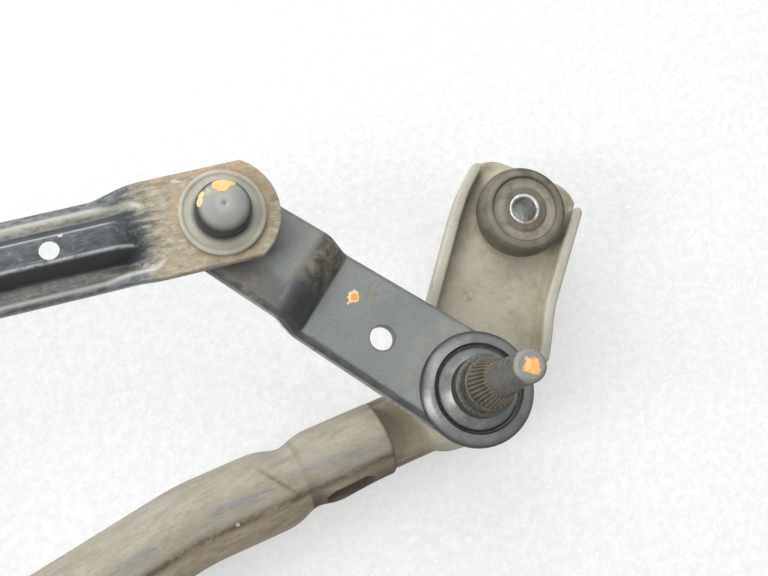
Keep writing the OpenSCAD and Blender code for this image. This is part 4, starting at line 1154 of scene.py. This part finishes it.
def bracket_field(x, y, z):
    """Signed distance of the motor bracket: a sheet that saddles the tube, a round motor plate, a stepped
    strap."""
    rel = y + BOW
    off = x - BRACKET_X
    arc = np.maximum(np.abs(np.hypot(rel, z - TUBE_AXIS_Z) - 12.3) - SHEET_HALF, TUBE_AXIS_Z - z)
    flat = np.maximum(np.abs(z - SHEET_Z) - SHEET_HALF, 12.0 - np.abs(rel))
    sheet = join(arc, flat, 2.5)
    saddle, disc = bracket_plan(x, y)
    plan = join(saddle, disc, 4.0)
    body = meet(sheet, plan, 0.5)
    climb = SHEET_Z - STRAP_Z
    share = np.clip((rel + 27.55) / STRAP_STEP, 0.0, 1.0)
    height = STRAP_Z + climb * ease(share)
    steep = climb / STRAP_STEP * 6.0 * share * (1.0 - share)
    strip = np.abs(z - height) / np.sqrt(1.0 + steep**2) - SHEET_HALF
    from_mount = np.hypot(off, rel + STRAP_REACH)
    straight = np.maximum(np.abs(off) - STRAP_HALF, rel + 13.0)
    strap_plan = np.where(rel < -STRAP_REACH, from_mount - STRAP_HALF, straight)
    strap = meet(strip, strap_plan, 0.5)
    whole = join(body, strap, 1.2)
    whole = meet(whole, MOTOR_HOLE_R - np.hypot(off - MOTOR_OFF, y - MOTOR_Y), 0.3)
    for angle in np.radians(MOTOR_BOLT_TURNS):
        bolt_x = MOTOR_OFF + MOTOR_BOLTS_R * math.cos(angle)
        bolt_y = MOTOR_Y + MOTOR_BOLTS_R * math.sin(angle)
        whole = np.maximum(whole, BOLT_HOLE_R - np.hypot(off - bolt_x, y - bolt_y))
    return np.maximum(whole, MOUNT_BORE_R - from_mount)


def bracket_surface():
    """Motor bracket's surface, with a mark along its cut edges."""
    low, high, step = (-286.0, -122.5, 3.5), (-190.5, 36.0, 34.5), 0.6
    points, faces = contour(bracket_field(*sample_block(low, high, step)), low, step)
    edge = bell(np.minimum(*bracket_plan(points[:, 0], points[:, 1])), 1.0)
    return points, faces, {"edge": edge}


SPLINE_FROM = 54.2
SPLINE_TO = 62.7
SPLINE_R = (6.3, 4.9)
SPLINE_COUNT = 32
THREAD_FROM = 64.0
THREAD_TO = 83.6
THREAD_R = 4.0
THREAD_PITCH = 1.25


def spindle_profile():
    """Corners of a spindle from its foot to its tip, close together where spline and thread are cut."""
    lower = rounded([
        (0.0, 1.2, 0), (4.4, 1.2, 0), (5.0, 1.8, 0), (5.0, 2.3, 0), (4.1, 2.3, 0), (4.1, 3.3, 0),
        (5.0, 3.3, 0), (5.0, 36.0, 0), (5.6, 36.0, 0), (5.6, 39.2, 0), (7.9, 39.2, 0), (7.9, 48.5, 0.7),
        (6.7, 48.7, 0.15), (6.7, 53.5, 0.35), (5.6, 53.5, 0), (5.6, 53.8, 0),
    ])
    spline_z = np.linspace(SPLINE_FROM, SPLINE_TO, 30)
    spline_r = np.interp(spline_z, (SPLINE_FROM, SPLINE_TO), SPLINE_R)
    thread_z = np.arange(THREAD_FROM, THREAD_TO, 0.125)
    upper = rounded([
        (3.9, THREAD_TO, 0), (3.95, 84.7, 0.3), (3.1, 85.5, 0.25), (1.6, 85.45, 0), (0.0, 85.4, 0),
    ])
    return np.concatenate([
        lower, np.stack([spline_r, spline_z], axis=-1), [(3.6, 63.1), (3.6, 63.6)],
        np.stack([np.full_like(thread_z, THREAD_R), thread_z], axis=-1), upper,
    ])


def spindle_cut(r, z, q):
    """Radius less the V grooves of the spline and the V of the thread, which climbs one pitch a turn."""
    tooth = np.abs((q * SPLINE_COUNT / (2 * np.pi)) % 1.0 - 0.5) * 2.0
    on_spline = (z >= SPLINE_FROM - 0.01) & (z <= SPLINE_TO + 0.01)
    r = r - np.where(on_spline, 0.5 * np.clip(1.0 - tooth * 1.15, 0.0, 1.0), 0.0)
    turn = (z / THREAD_PITCH - q / (2 * np.pi)) % 1.0
    vee = np.clip(1.15 - np.abs(turn - 0.5) * 2.6, 0.0, 1.0)
    fade = ease((z - THREAD_FROM) / 1.0) * ease((THREAD_TO - z) / 1.4)
    on_thread = (z >= THREAD_FROM) & (z <= THREAD_TO)
    return r - np.where(on_thread, 0.55 * vee * fade, 0.0)


def spindle_surface():
    """Spindle with marks for the rusty spline zone, groove roots, worn crests and the painted end."""
    profile = spindle_profile()
    points = revolve(profile, 256, spindle_cut)
    r = np.hypot(points[..., 0], points[..., 1])
    z = points[..., 2]
    ideal = np.broadcast_to(profile[:, :1], r.shape)
    marks = {
        "spline": ease((z - 53.0) / 1.5) * ease((66.5 - z) / 4.0),
        "root": np.clip((ideal - r) / 0.45, 0.0, 1.0),
        "crest": bell(z - 48.5, 0.25) + bell(z - 53.4, 0.25) + bell(z - 84.8, 0.3),
        "thread": ease((z - 63.0) / 0.8),
        "tip": ease((z - 84.7) / 0.3),
    }
    faces = grid_faces(*points.shape[:2], close_columns=True)
    return points, faces, {name: m.reshape(-1) for name, m in marks.items()}


BALL_R = 5.0
CUP_R = 5.15


def socket_surface():
    """Moulded socket about its ball: snap lip, barrel, flange with a rolled rim, dome with a rubbed crown
    and a pip, and the cup inside, open below."""
    outside = rounded([
        (4.6, -6.1, 0), (7.1, -6.1, 0.3), (7.85, -5.3, 0.3), (7.85, -4.25, 0.1), (7.45, -4.25, 0),
        (7.45, -2.2, 0), (10.55, -2.2, 0.25), (10.6, -0.7, 0.7), (9.6, -0.62, 0.2), (9.2, -0.82, 0.2),
        (7.9, -0.75, 0.4), (6.05, -0.4, 0.5), (6.8, 3.1, 1.4), (6.1, 5.9, 2.0), (3.6, 7.2, 1.6),
        (1.0, 7.4, 0.2), (0.45, 7.2, 0.2), (0.0, 7.12, 0),
    ], 7)
    lift = np.radians(np.linspace(90.0, -28.0, 26))
    cup = CUP_R * np.stack([np.cos(lift), np.sin(lift)], axis=-1)
    profile = np.concatenate([cup, outside])
    points = revolve(profile, 128)
    r = np.hypot(points[..., 0], points[..., 1])
    z = points[..., 2]
    outer = (np.arange(len(profile)) >= len(cup))[:, None]
    marks = {
        "flange": ease((r - 7.2) / 0.8) * (z < 0.4) * outer,
        "groove": (bell(r - 9.2, 0.28) * 0.5 + bell(r - 10.6, 0.12)) * (z < 0.4) * outer,
        # side: painted shade on the dome's side wall.
        "side": ease((6.5 - z) / 1.8) * (r > 5.0) * ease((7.5 - r) / 0.4) * (z > -0.7) * outer,
        "crown": ease((2.5 - r) / 0.5) * (z > 6.0) * outer,
        "pip": bell(r, 0.42) * (z > 6.0) * outer,
    }
    faces = grid_faces(*points.shape[:2], close_columns=True)
    return points, faces, {name: np.clip(m, 0.0, 1.0).reshape(-1) for name, m in marks.items()}


def ring_surface(corners, count=128, steps=5):
    """Closed ring from a profile of corners (r, z, cut), outside going up, which ends where it starts."""
    points = revolve(rounded(corners, steps), count)[:-1]
    return points, grid_faces(*points.shape[:2], close_rows=True, close_columns=True)


def cap_surface():
    """Dust cap on a lever: wide rounded outer ring, groove, taller inner ring. Height is from the lever."""
    points, faces = ring_surface([
        (7.98, 0.0, 0), (14.6, 0.0, 0), (15.0, 0.3, 0.2), (15.0, 0.9, 0.4), (14.5, 1.4, 0.5),
        (12.6, 2.7, 0.9), (11.8, 2.9, 0.3), (11.4, 1.5, 0.25), (10.8, 1.4, 0.2), (10.7, 2.4, 0.5),
        (9.0, 4.0, 1.4), (8.3, 4.5, 0.4), (7.98, 4.3, 0.1), (7.98, 0.0, 0),
    ], steps=7)
    r = np.hypot(points[..., 0], points[..., 1])
    z = points[..., 2]
    # film: dust and a painted sheen on the rings' tops.
    film = ease((z - 1.3) / 0.7) * ease((14.8 - r) / 0.5) * np.where(r < 11.0, ease((z - 2.2) / 0.8), 1.0)
    marks = {"dusty": bell(r - 11.0, 0.5) * 0.8, "film": film}
    return points, faces, {name: m.reshape(-1) for name, m in marks.items()}


LOWER_LIP = 0.75


def grommet_surface(plate):
    """Rubber mount about the middle of a plate: lip, well and hub above, a lower copy of them below, and a
    waist in the plate's hole."""
    half = plate / 2
    above = [
        (MOUNT_BORE_R, 0.0, 0.2), (11.2, 0.0, 0.25), (12.2, 3.0, 1.4), (12.25, 7.2, 2.0), (10.6, 9.2, 1.4),
        (9.2, 9.2, 0.5), (8.8, 8.3, 0.4), (6.3, 8.0, 0.4), (5.8, 8.6, 0.4), (4.2, 8.7, 0.1),
    ]
    upper = [(r, half + rise, cut) for r, rise, cut in above]
    lower = [(r, -half - LOWER_LIP * rise, cut) for r, rise, cut in above[::-1]]
    points, faces = ring_surface(lower + upper + [(4.2, 0.0, 0), lower[0]], steps=6)
    r = np.hypot(points[..., 0], points[..., 1])
    rise = np.abs(points[..., 2]) - half
    rise = np.where(points[..., 2] < 0, rise / LOWER_LIP, rise)
    dusty = bell(r - 7.4, 1.3) + 0.3 * bell(r - 10.2, 0.8) * (rise > 7.0) + 0.3 * bell(rise - 0.4, 0.8)
    # dark: painted shade on the lip's inner wall, and a painted contact shadow at the plate.
    dark = bell(r - 8.85, 0.16) * (rise > 5.0) + 0.5 * bell(rise, 0.5)
    return points, faces, {"dusty": np.clip(dusty, 0.0, 1.0).reshape(-1), "dark": dark.reshape(-1)}


SLEEVE_ABOVE = 8.8
SLEEVE_BELOW = 7.5


def sleeve_surface(up, down):
    """Plated sleeve from down below the middle of its plate to up above it, with small chamfers."""
    return ring_surface([
        (3.25, -down + 0.4, 0), (3.6, -down, 0.1), (4.0, -down, 0.1), (4.4, -down + 0.25, 0.1),
        (4.15, -down + 0.6, 0.1), (4.15, up - 0.6, 0.1), (4.4, up - 0.25, 0.1), (4.0, up, 0.1),
        (3.6, up, 0.1), (3.25, up - 0.4, 0.1), (3.25, -down + 0.4, 0),
    ], 96, 3)


def stud_surface():
    """Ball stud about its ball: rivet head under the lever, shank, seat flange, neck and ball."""
    stem = rounded([
        (0.0, -14.6, 0), (3.8, -14.6, 0.6), (5.0, -13.7, 0.3), (5.0, -13.2, 0), (3.4, -13.2, 0),
        (3.4, -10.0, 0), (5.4, -10.0, 0), (5.4, -8.7, 0.3), (4.0, -8.2, 0.5), (3.0, -7.2, 0.6),
        (3.0, -4.0, 0),
    ])
    lift = np.radians(np.linspace(-53.1, 90.0, 30))
    ball = BALL_R * np.stack([np.cos(lift), np.sin(lift)], axis=-1)
    points = revolve(np.concatenate([stem, ball]), 96)
    return points, grid_faces(*points.shape[:2], close_columns=True)


# Operators

BALL_RISE = 10.0


def sizes_of(context):
    """Sizes in millimetres and angles in radians."""
    s = context.scene.linkage_sizes
    span = s.pivot_span / MM
    length = s.lever_length / MM
    tie = (length * math.cos(s.lever_angle), length * math.sin(s.lever_angle))
    arm = s.drive_arm / MM
    top = s.lever_top / MM
    drive = (-span - arm * math.cos(s.lever_angle), -arm * math.sin(s.lever_angle), top + BALL_RISE)
    return {
        "span": span, "length": length, "angle": s.lever_angle, "arm": arm, "top": top,
        "tie_right": (tie[0], tie[1], top + JOG_H + BALL_RISE),
        "tie_left": (tie[0] - span, tie[1], top + JOG_H + BALL_RISE),
        "drive": drive, "drive_length": s.drive_link_length / MM, "drive_angle": s.drive_link_angle,
        "tube": s.tube_radius / MM, "arm_angle": s.arm_angle, "arm_length": s.arm_length / MM,
    }


class LINKAGE_OT_links(bpy.types.Operator):
    """Pressed tie link and drive link with their moulded ball sockets"""

    bl_idname = "linkage.links"
    bl_label = "Links and sockets"

    def execute(self, context):
        s = sizes_of(context)
        paint = finish_of("link_paint", link_paint)
        grey = finish_of("socket_grey", socket_finish)
        motor = placed(np.array([[s["drive_length"], 0.0, 0.0]]), s["drive"], s["drive_angle"])[0]
        eye = np.array([0.0, 0.0, -EYE_UNDER_BALL])
        runs = (
            ("tie_link", s["span"], s["tie_left"], 0.0),
            ("drive_link", s["drive_length"], s["drive"], s["drive_angle"]),
        )
        for node, length, origin, angle in runs:
            points, faces, marks = link_surface(length, DRAIN_HOLE_AT)
            points = placed(points, np.array(origin) + eye, angle)
            put(node + "_pressing", points, faces, node, paint, (node,), marks)
        sockets = (
            ("tie_link_right_socket", s["tie_right"], "tie_link"),
            ("tie_link_left_socket", s["tie_left"], "tie_link"),
            ("drive_link_lever_socket", s["drive"], "drive_link"),
            ("drive_link_motor_socket", motor, "drive_link"),
        )
        for node, origin, body in sockets:
            points, faces, marks = socket_surface()
            points = placed(points, origin, 0.0)
            put(node + "_moulding", points, faces, body, grey, (node,), marks)
        return {"FINISHED"}


class LINKAGE_OT_levers(bpy.types.Operator):
    """Jogged levers with their riveted ball studs"""

    bl_idname = "linkage.levers"
    bl_label = "Levers and ball studs"

    def execute(self, context):
        s = sizes_of(context)
        paint = finish_of("lever_paint", lever_paint)
        steel = finish_of("ball_steel", ball_steel)
        for side, x, back in (("right", 0.0, 0.0), ("left", -s["span"], s["arm"])):
            points, faces, marks = lever_surface(s["length"], back)
            points = placed(points, (x, 0.0, s["top"]), s["angle"])
            node = side + "_lever"
            put(node + "_stamping", points, faces, side + "_crank", paint, (node,), marks)
        studs = (
            ("right_tie_ball", s["tie_right"], "right_crank"),
            ("left_tie_ball", s["tie_left"], "left_crank"),
            ("left_drive_ball", s["drive"], "left_crank"),
        )
        for node, origin, body in studs:
            points, faces = stud_surface()
            put(node + "_stud", placed(points, origin, 0.0), faces, body, steel, (node,))
        return {"FINISHED"}


class LINKAGE_OT_spindles(bpy.types.Operator):
    """Splined and threaded spindles with their dust caps"""

    bl_idname = "linkage.spindles"
    bl_label = "Spindles and caps"

    def execute(self, context):
        s = sizes_of(context)
        steel = finish_of("spindle_steel", spindle_finish)
        black = finish_of("cap_black", cap_finish)
        for side, x in (("right", 0.0), ("left", -s["span"])):
            points, faces, marks = spindle_surface()
            points = placed(points, (x, 0.0, 0.0), 0.0)
            node = side + "_spindle"
            put(node + "_turned", points, faces, side + "_crank", steel, (node,), marks,
                sharp=50.0)
            points, faces, marks = cap_surface()
            points = placed(points, (x, 0.0, s["top"]), 0.0)
            node = side + "_seal_cap"
            put(node + "_moulding", points, faces, side + "_crank", black, (node,), marks)
        return {"FINISHED"}


class LINKAGE_OT_frame(bpy.types.Operator):
    """Bent tube, cast housings and motor bracket"""

    bl_idname = "linkage.frame"
    bl_label = "Tube, housings, bracket"

    def execute(self, context):
        s = sizes_of(context)
        points, faces, marks = tube_surface(s["span"], s["tube"])
        dusty = finish_of("tube_dusty", tube_finish)
        put("frame_tube_bent", points, faces, "frame", dusty, ("frame_tube",), marks)
        cast = finish_of("cast_alloy", casting_finish)
        points, faces, marks = housing_surface(s["arm_angle"], s["arm_length"])
        put("right_housing_casting", points, faces, "frame", cast,
            ("right_pivot_housing",), marks, weld=False, sharp=SMOOTH_CASTING)
        points, faces = mirror_left(points, faces, s["span"])
        put("left_housing_casting", points, faces, "frame", cast,
            ("left_pivot_housing",), marks, weld=False, sharp=SMOOTH_CASTING)
        points, faces, marks = bracket_surface()
        paint = finish_of("bracket_paint", bracket_paint)
        put("motor_bracket_pressing", points, faces, "frame", paint,
            ("motor_bracket",), marks, weld=False, sharp=SMOOTH_CASTING)
        return {"FINISHED"}


class LINKAGE_OT_mounts(bpy.types.Operator):
    """Rubber mounts with their plated sleeves"""

    bl_idname = "linkage.mounts"
    bl_label = "Rubber mounts"

    def execute(self, context):
        s = sizes_of(context)
        rubber = finish_of("mount_rubber", rubber_finish)
        zinc = finish_of("zinc_plate", zinc_finish)
        reach, angle = s["arm_length"], s["arm_angle"]
        right = (reach * math.cos(angle), reach * math.sin(angle), PLATE_MIDDLE)
        left = (-s["span"] - right[0], right[1], right[2])
        centre = (-s["span"] / 2, -BOW - STRAP_REACH, STRAP_Z)
        plate_t = PLATE_TOP - PLATE_LOW
        places = (("right", right, plate_t), ("left", left, plate_t), ("centre", centre, 2 * SHEET_HALF))
        for name, origin, plate in places:
            points, faces, marks = grommet_surface(plate)
            node = name + "_grommet"
            points = placed(points, origin, 0.0)
            put(node + "_moulding", points, faces, "frame", rubber, (node,), marks)
            points, faces = sleeve_surface(plate / 2 + SLEEVE_ABOVE, plate / 2 + SLEEVE_BELOW)
            node = name + "_sleeve"
            put(node + "_plated", placed(points, origin, 0.0), faces, "frame", zinc, (node,))
        return {"FINISHED"}


class LINKAGE_OT_bearings(bpy.types.Operator):
    """Finishes of the bearing pieces, which keep their CAD shapes"""

    bl_idname = "linkage.bearings"
    bl_label = "Bearing pieces"

    def execute(self, context):
        finishes = {
            "upper_bush": finish_of("sintered_bronze", bronze_finish),
            "lower_bush": finish_of("sintered_bronze", bronze_finish),
            "seal_ring": finish_of("seal_rubber", seal_rubber),
            "thrust_washer": finish_of("washer_nylon", washer_nylon),
            "foot_washer": finish_of("zinc_plate", zinc_finish),
            "clip": finish_of("clip_steel", clip_steel),
        }
        for side in ("right", "left"):
            for name, finish in finishes.items():
                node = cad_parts[side + "_" + name]
                node.data.materials.clear()
                node.data.materials.append(finish)
        return {"FINISHED"}


CAMERA_AT = (-89.5, -13.4, 346.5)
CAMERA_RIGHT = (0.9437, -0.2735, 0.1861)
CAMERA_UP = (0.2374, 0.9517, 0.1949)
CAMERA_BACK = (-0.2304, -0.1398, 0.963)
CAMERA_LENS = 58.6
FLOOR_Z = -0.4
FLOOR_HALF = 2500.0
FLOOR_STEPS = 41
FLOOR_GLOW = 0.5
SKY_SEEN = 0.95
SKY_SIDES = (-0.8, 0.6)
SKY_LEVELS = (0.22, 0.78)


def floor_surface():
    """Pale floor sheet: a square grid, flat at z just below the feet."""
    axis = np.linspace(-FLOOR_HALF, FLOOR_HALF, FLOOR_STEPS)
    x, y = np.meshgrid(axis + BRACKET_X, axis, indexing="ij")
    return np.stack([x, y, np.full_like(x, FLOOR_Z)], axis=-1), grid_faces(*x.shape)[:, ::-1]


def floor_finish(name, colours):
    """White foam sheet with fine sparkle. Camera, glossy and transmission rays see it part glowing and part
    lit, so it stays white and keeps a soft shadow."""
    f = Finish(name)
    grain = f.noise(380.0, 4.0, 0.7)
    sparkle = f.band(f.noise(900.0, 2.0, 0.5), 0.58, 0.72)
    base = f.mix(f.band(grain, 0.35, 0.7), tone(226, 228, 228), tone(244, 246, 246))
    base = f.mix(f.times(sparkle, 0.8), base, tone(254, 254, 254))
    f.surface(base, 0.7, height=grain, depth=0.0004, specular=0.2)
    glow = f.node("ShaderNodeEmission")
    glow.inputs["Color"].default_value = (1.0, 1.0, 1.0, 1.0)
    path = f.node("ShaderNodeLightPath")
    seen = f.most(path.outputs["Is Camera Ray"], path.outputs["Is Glossy Ray"])
    seen = f.most(seen, path.outputs["Is Transmission Ray"])
    blend = f.node("ShaderNodeMixShader")
    f.feed(f.times(seen, FLOOR_GLOW), blend.inputs[0])
    f.feed(f.shader.outputs[0], blend.inputs[1])
    f.feed(glow.outputs[0], blend.inputs[2])
    f.feed(blend.outputs[0], f.tree.nodes["Material Output"].inputs["Surface"])
    return f.material


def standing(right, up, back, at):
    """Matrix of an object with these axes, at a place in metres."""
    matrix = np.eye(4)
    matrix[:3] = np.stack([right, up, back, at], axis=-1)
    return Matrix(matrix.tolist())


def soft_lamp(name, at, aim, size, power):
    """Square area lamp at a place in metres, turned to a point."""
    data = bpy.data.lights.new(name, "AREA")
    data.shape = "SQUARE"
    data.size = size
    data.energy = power
    lamp = bpy.data.objects.new(name, data)
    bpy.context.scene.collection.objects.link(lamp)
    back = np.array(at) - np.array(aim)
    back = back / np.linalg.norm(back)
    right = np.cross((0.0, 1.0, 0.0), back)
    right = right / np.linalg.norm(right)
    lamp.matrix_world = standing(right, np.cross(back, right), back, at)


def sky_world():
    """Even sky, brighter toward +Y. Camera, glossy and transmission rays see it as the white background."""
    world = bpy.data.worlds.new("even_sky")
    world.use_nodes = True
    nodes, links = world.node_tree.nodes, world.node_tree.links
    background = nodes["Background"]
    background.inputs["Color"].default_value = (0.98, 0.99, 1.0, 1.0)
    toward = nodes.new("ShaderNodeTexCoord")
    parts = nodes.new("ShaderNodeSeparateXYZ")
    level = nodes.new("ShaderNodeMapRange")
    for socket, value in zip(("From Min", "From Max", "To Min", "To Max"), SKY_SIDES + SKY_LEVELS):
        level.inputs[socket].default_value = value
    links.new(toward.outputs["Generated"], parts.inputs[0])
    links.new(parts.outputs["Y"], level.inputs["Value"])
    path = nodes.new("ShaderNodeLightPath")
    seen = path.outputs["Is Camera Ray"]
    for name in ("Is Glossy Ray", "Is Transmission Ray"):
        either = nodes.new("ShaderNodeMath")
        either.operation = "MAXIMUM"
        links.new(seen, either.inputs[0])
        links.new(path.outputs[name], either.inputs[1])
        seen = either.outputs[0]
    blend = nodes.new("ShaderNodeMix")
    links.new(seen, blend.inputs["Factor"])
    links.new(level.outputs["Result"], blend.inputs["A"])
    blend.inputs["B"].default_value = SKY_SEEN
    links.new(blend.outputs["Result"], background.inputs["Strength"])
    return world


class LINKAGE_OT_stage(bpy.types.Operator):
    """Pale floor, soft lamps, even sky and the camera at the photograph's angle"""

    bl_idname = "linkage.stage"
    bl_label = "Floor, light and camera"

    def execute(self, context):
        scene = context.scene
        points, faces = floor_surface()
        mesh = bpy.data.meshes.new("floor")
        mesh.from_pydata((points.reshape(-1, 3) * MM).tolist(), [], faces.tolist())
        mesh.materials.append(finish_of("floor_sheet", floor_finish))
        floor = bpy.data.objects.new("floor", mesh)
        scene.collection.objects.link(floor)
        scene.world = sky_world()
        soft_lamp("key_lamp", (-0.16, 0.72, 0.8), (-0.04, 0.03, 0.03), 0.9, 7.5)
        soft_lamp("side_lamp", (-0.85, -0.02, 0.66), (-0.04, 0.0, 0.04), 0.4, 6.0)
        scene.view_settings.view_transform = "Standard"
        data = bpy.data.cameras.new("photo_camera")
        data.sensor_width = 36.0
        data.lens = CAMERA_LENS
        data.clip_start = 0.01
        data.clip_end = 20.0
        camera = bpy.data.objects.new("photo_camera", data)
        camera.matrix_world = standing(CAMERA_RIGHT, CAMERA_UP, CAMERA_BACK, np.array(CAMERA_AT) * MM)
        scene.collection.objects.link(camera)
        scene.camera = camera
        return {"FINISHED"}


class LINKAGE_PT_panel(bpy.types.Panel):
    """Lists the steps and the values"""

    bl_label = "Wiper linkage"
    bl_idname = "LINKAGE_PT_panel"
    bl_space_type = "VIEW_3D"
    bl_region_type = "UI"
    bl_category = "Linkage"

    def draw(self, context):
        for step in STEPS:
            self.layout.operator(step.bl_idname, text=step.bl_label)
        for group in (context.scene.linkage_sizes, context.scene.linkage_colours):
            column = self.layout.column()
            for name in group.bl_rna.properties.keys():
                if name not in ("rna_type", "name"):
                    column.prop(group, name)


STEPS = (
    LINKAGE_OT_stage,
    LINKAGE_OT_frame,
    LINKAGE_OT_mounts,
    LINKAGE_OT_bearings,
    LINKAGE_OT_spindles,
    LINKAGE_OT_levers,
    LINKAGE_OT_links,
)
CLASSES = (LinkageSizes, LinkageColours, *STEPS, LINKAGE_PT_panel)


def register():
    for cls in CLASSES:
        bpy.utils.register_class(cls)
    bpy.types.Scene.linkage_sizes = bpy.props.PointerProperty(type=LinkageSizes)
    bpy.types.Scene.linkage_colours = bpy.props.PointerProperty(type=LinkageColours)


def unregister():
    del bpy.types.Scene.linkage_colours
    del bpy.types.Scene.linkage_sizes
    for cls in reversed(CLASSES):
        bpy.utils.unregister_class(cls)


def main():
    """Builds everything in order."""
    register()
    bpy.ops.linkage.stage()
    bpy.ops.linkage.frame()
    bpy.ops.linkage.mounts()
    bpy.ops.linkage.bearings()
    bpy.ops.linkage.spindles()
    bpy.ops.linkage.levers()
    bpy.ops.linkage.links()


if __name__ == "__main__":
    main()
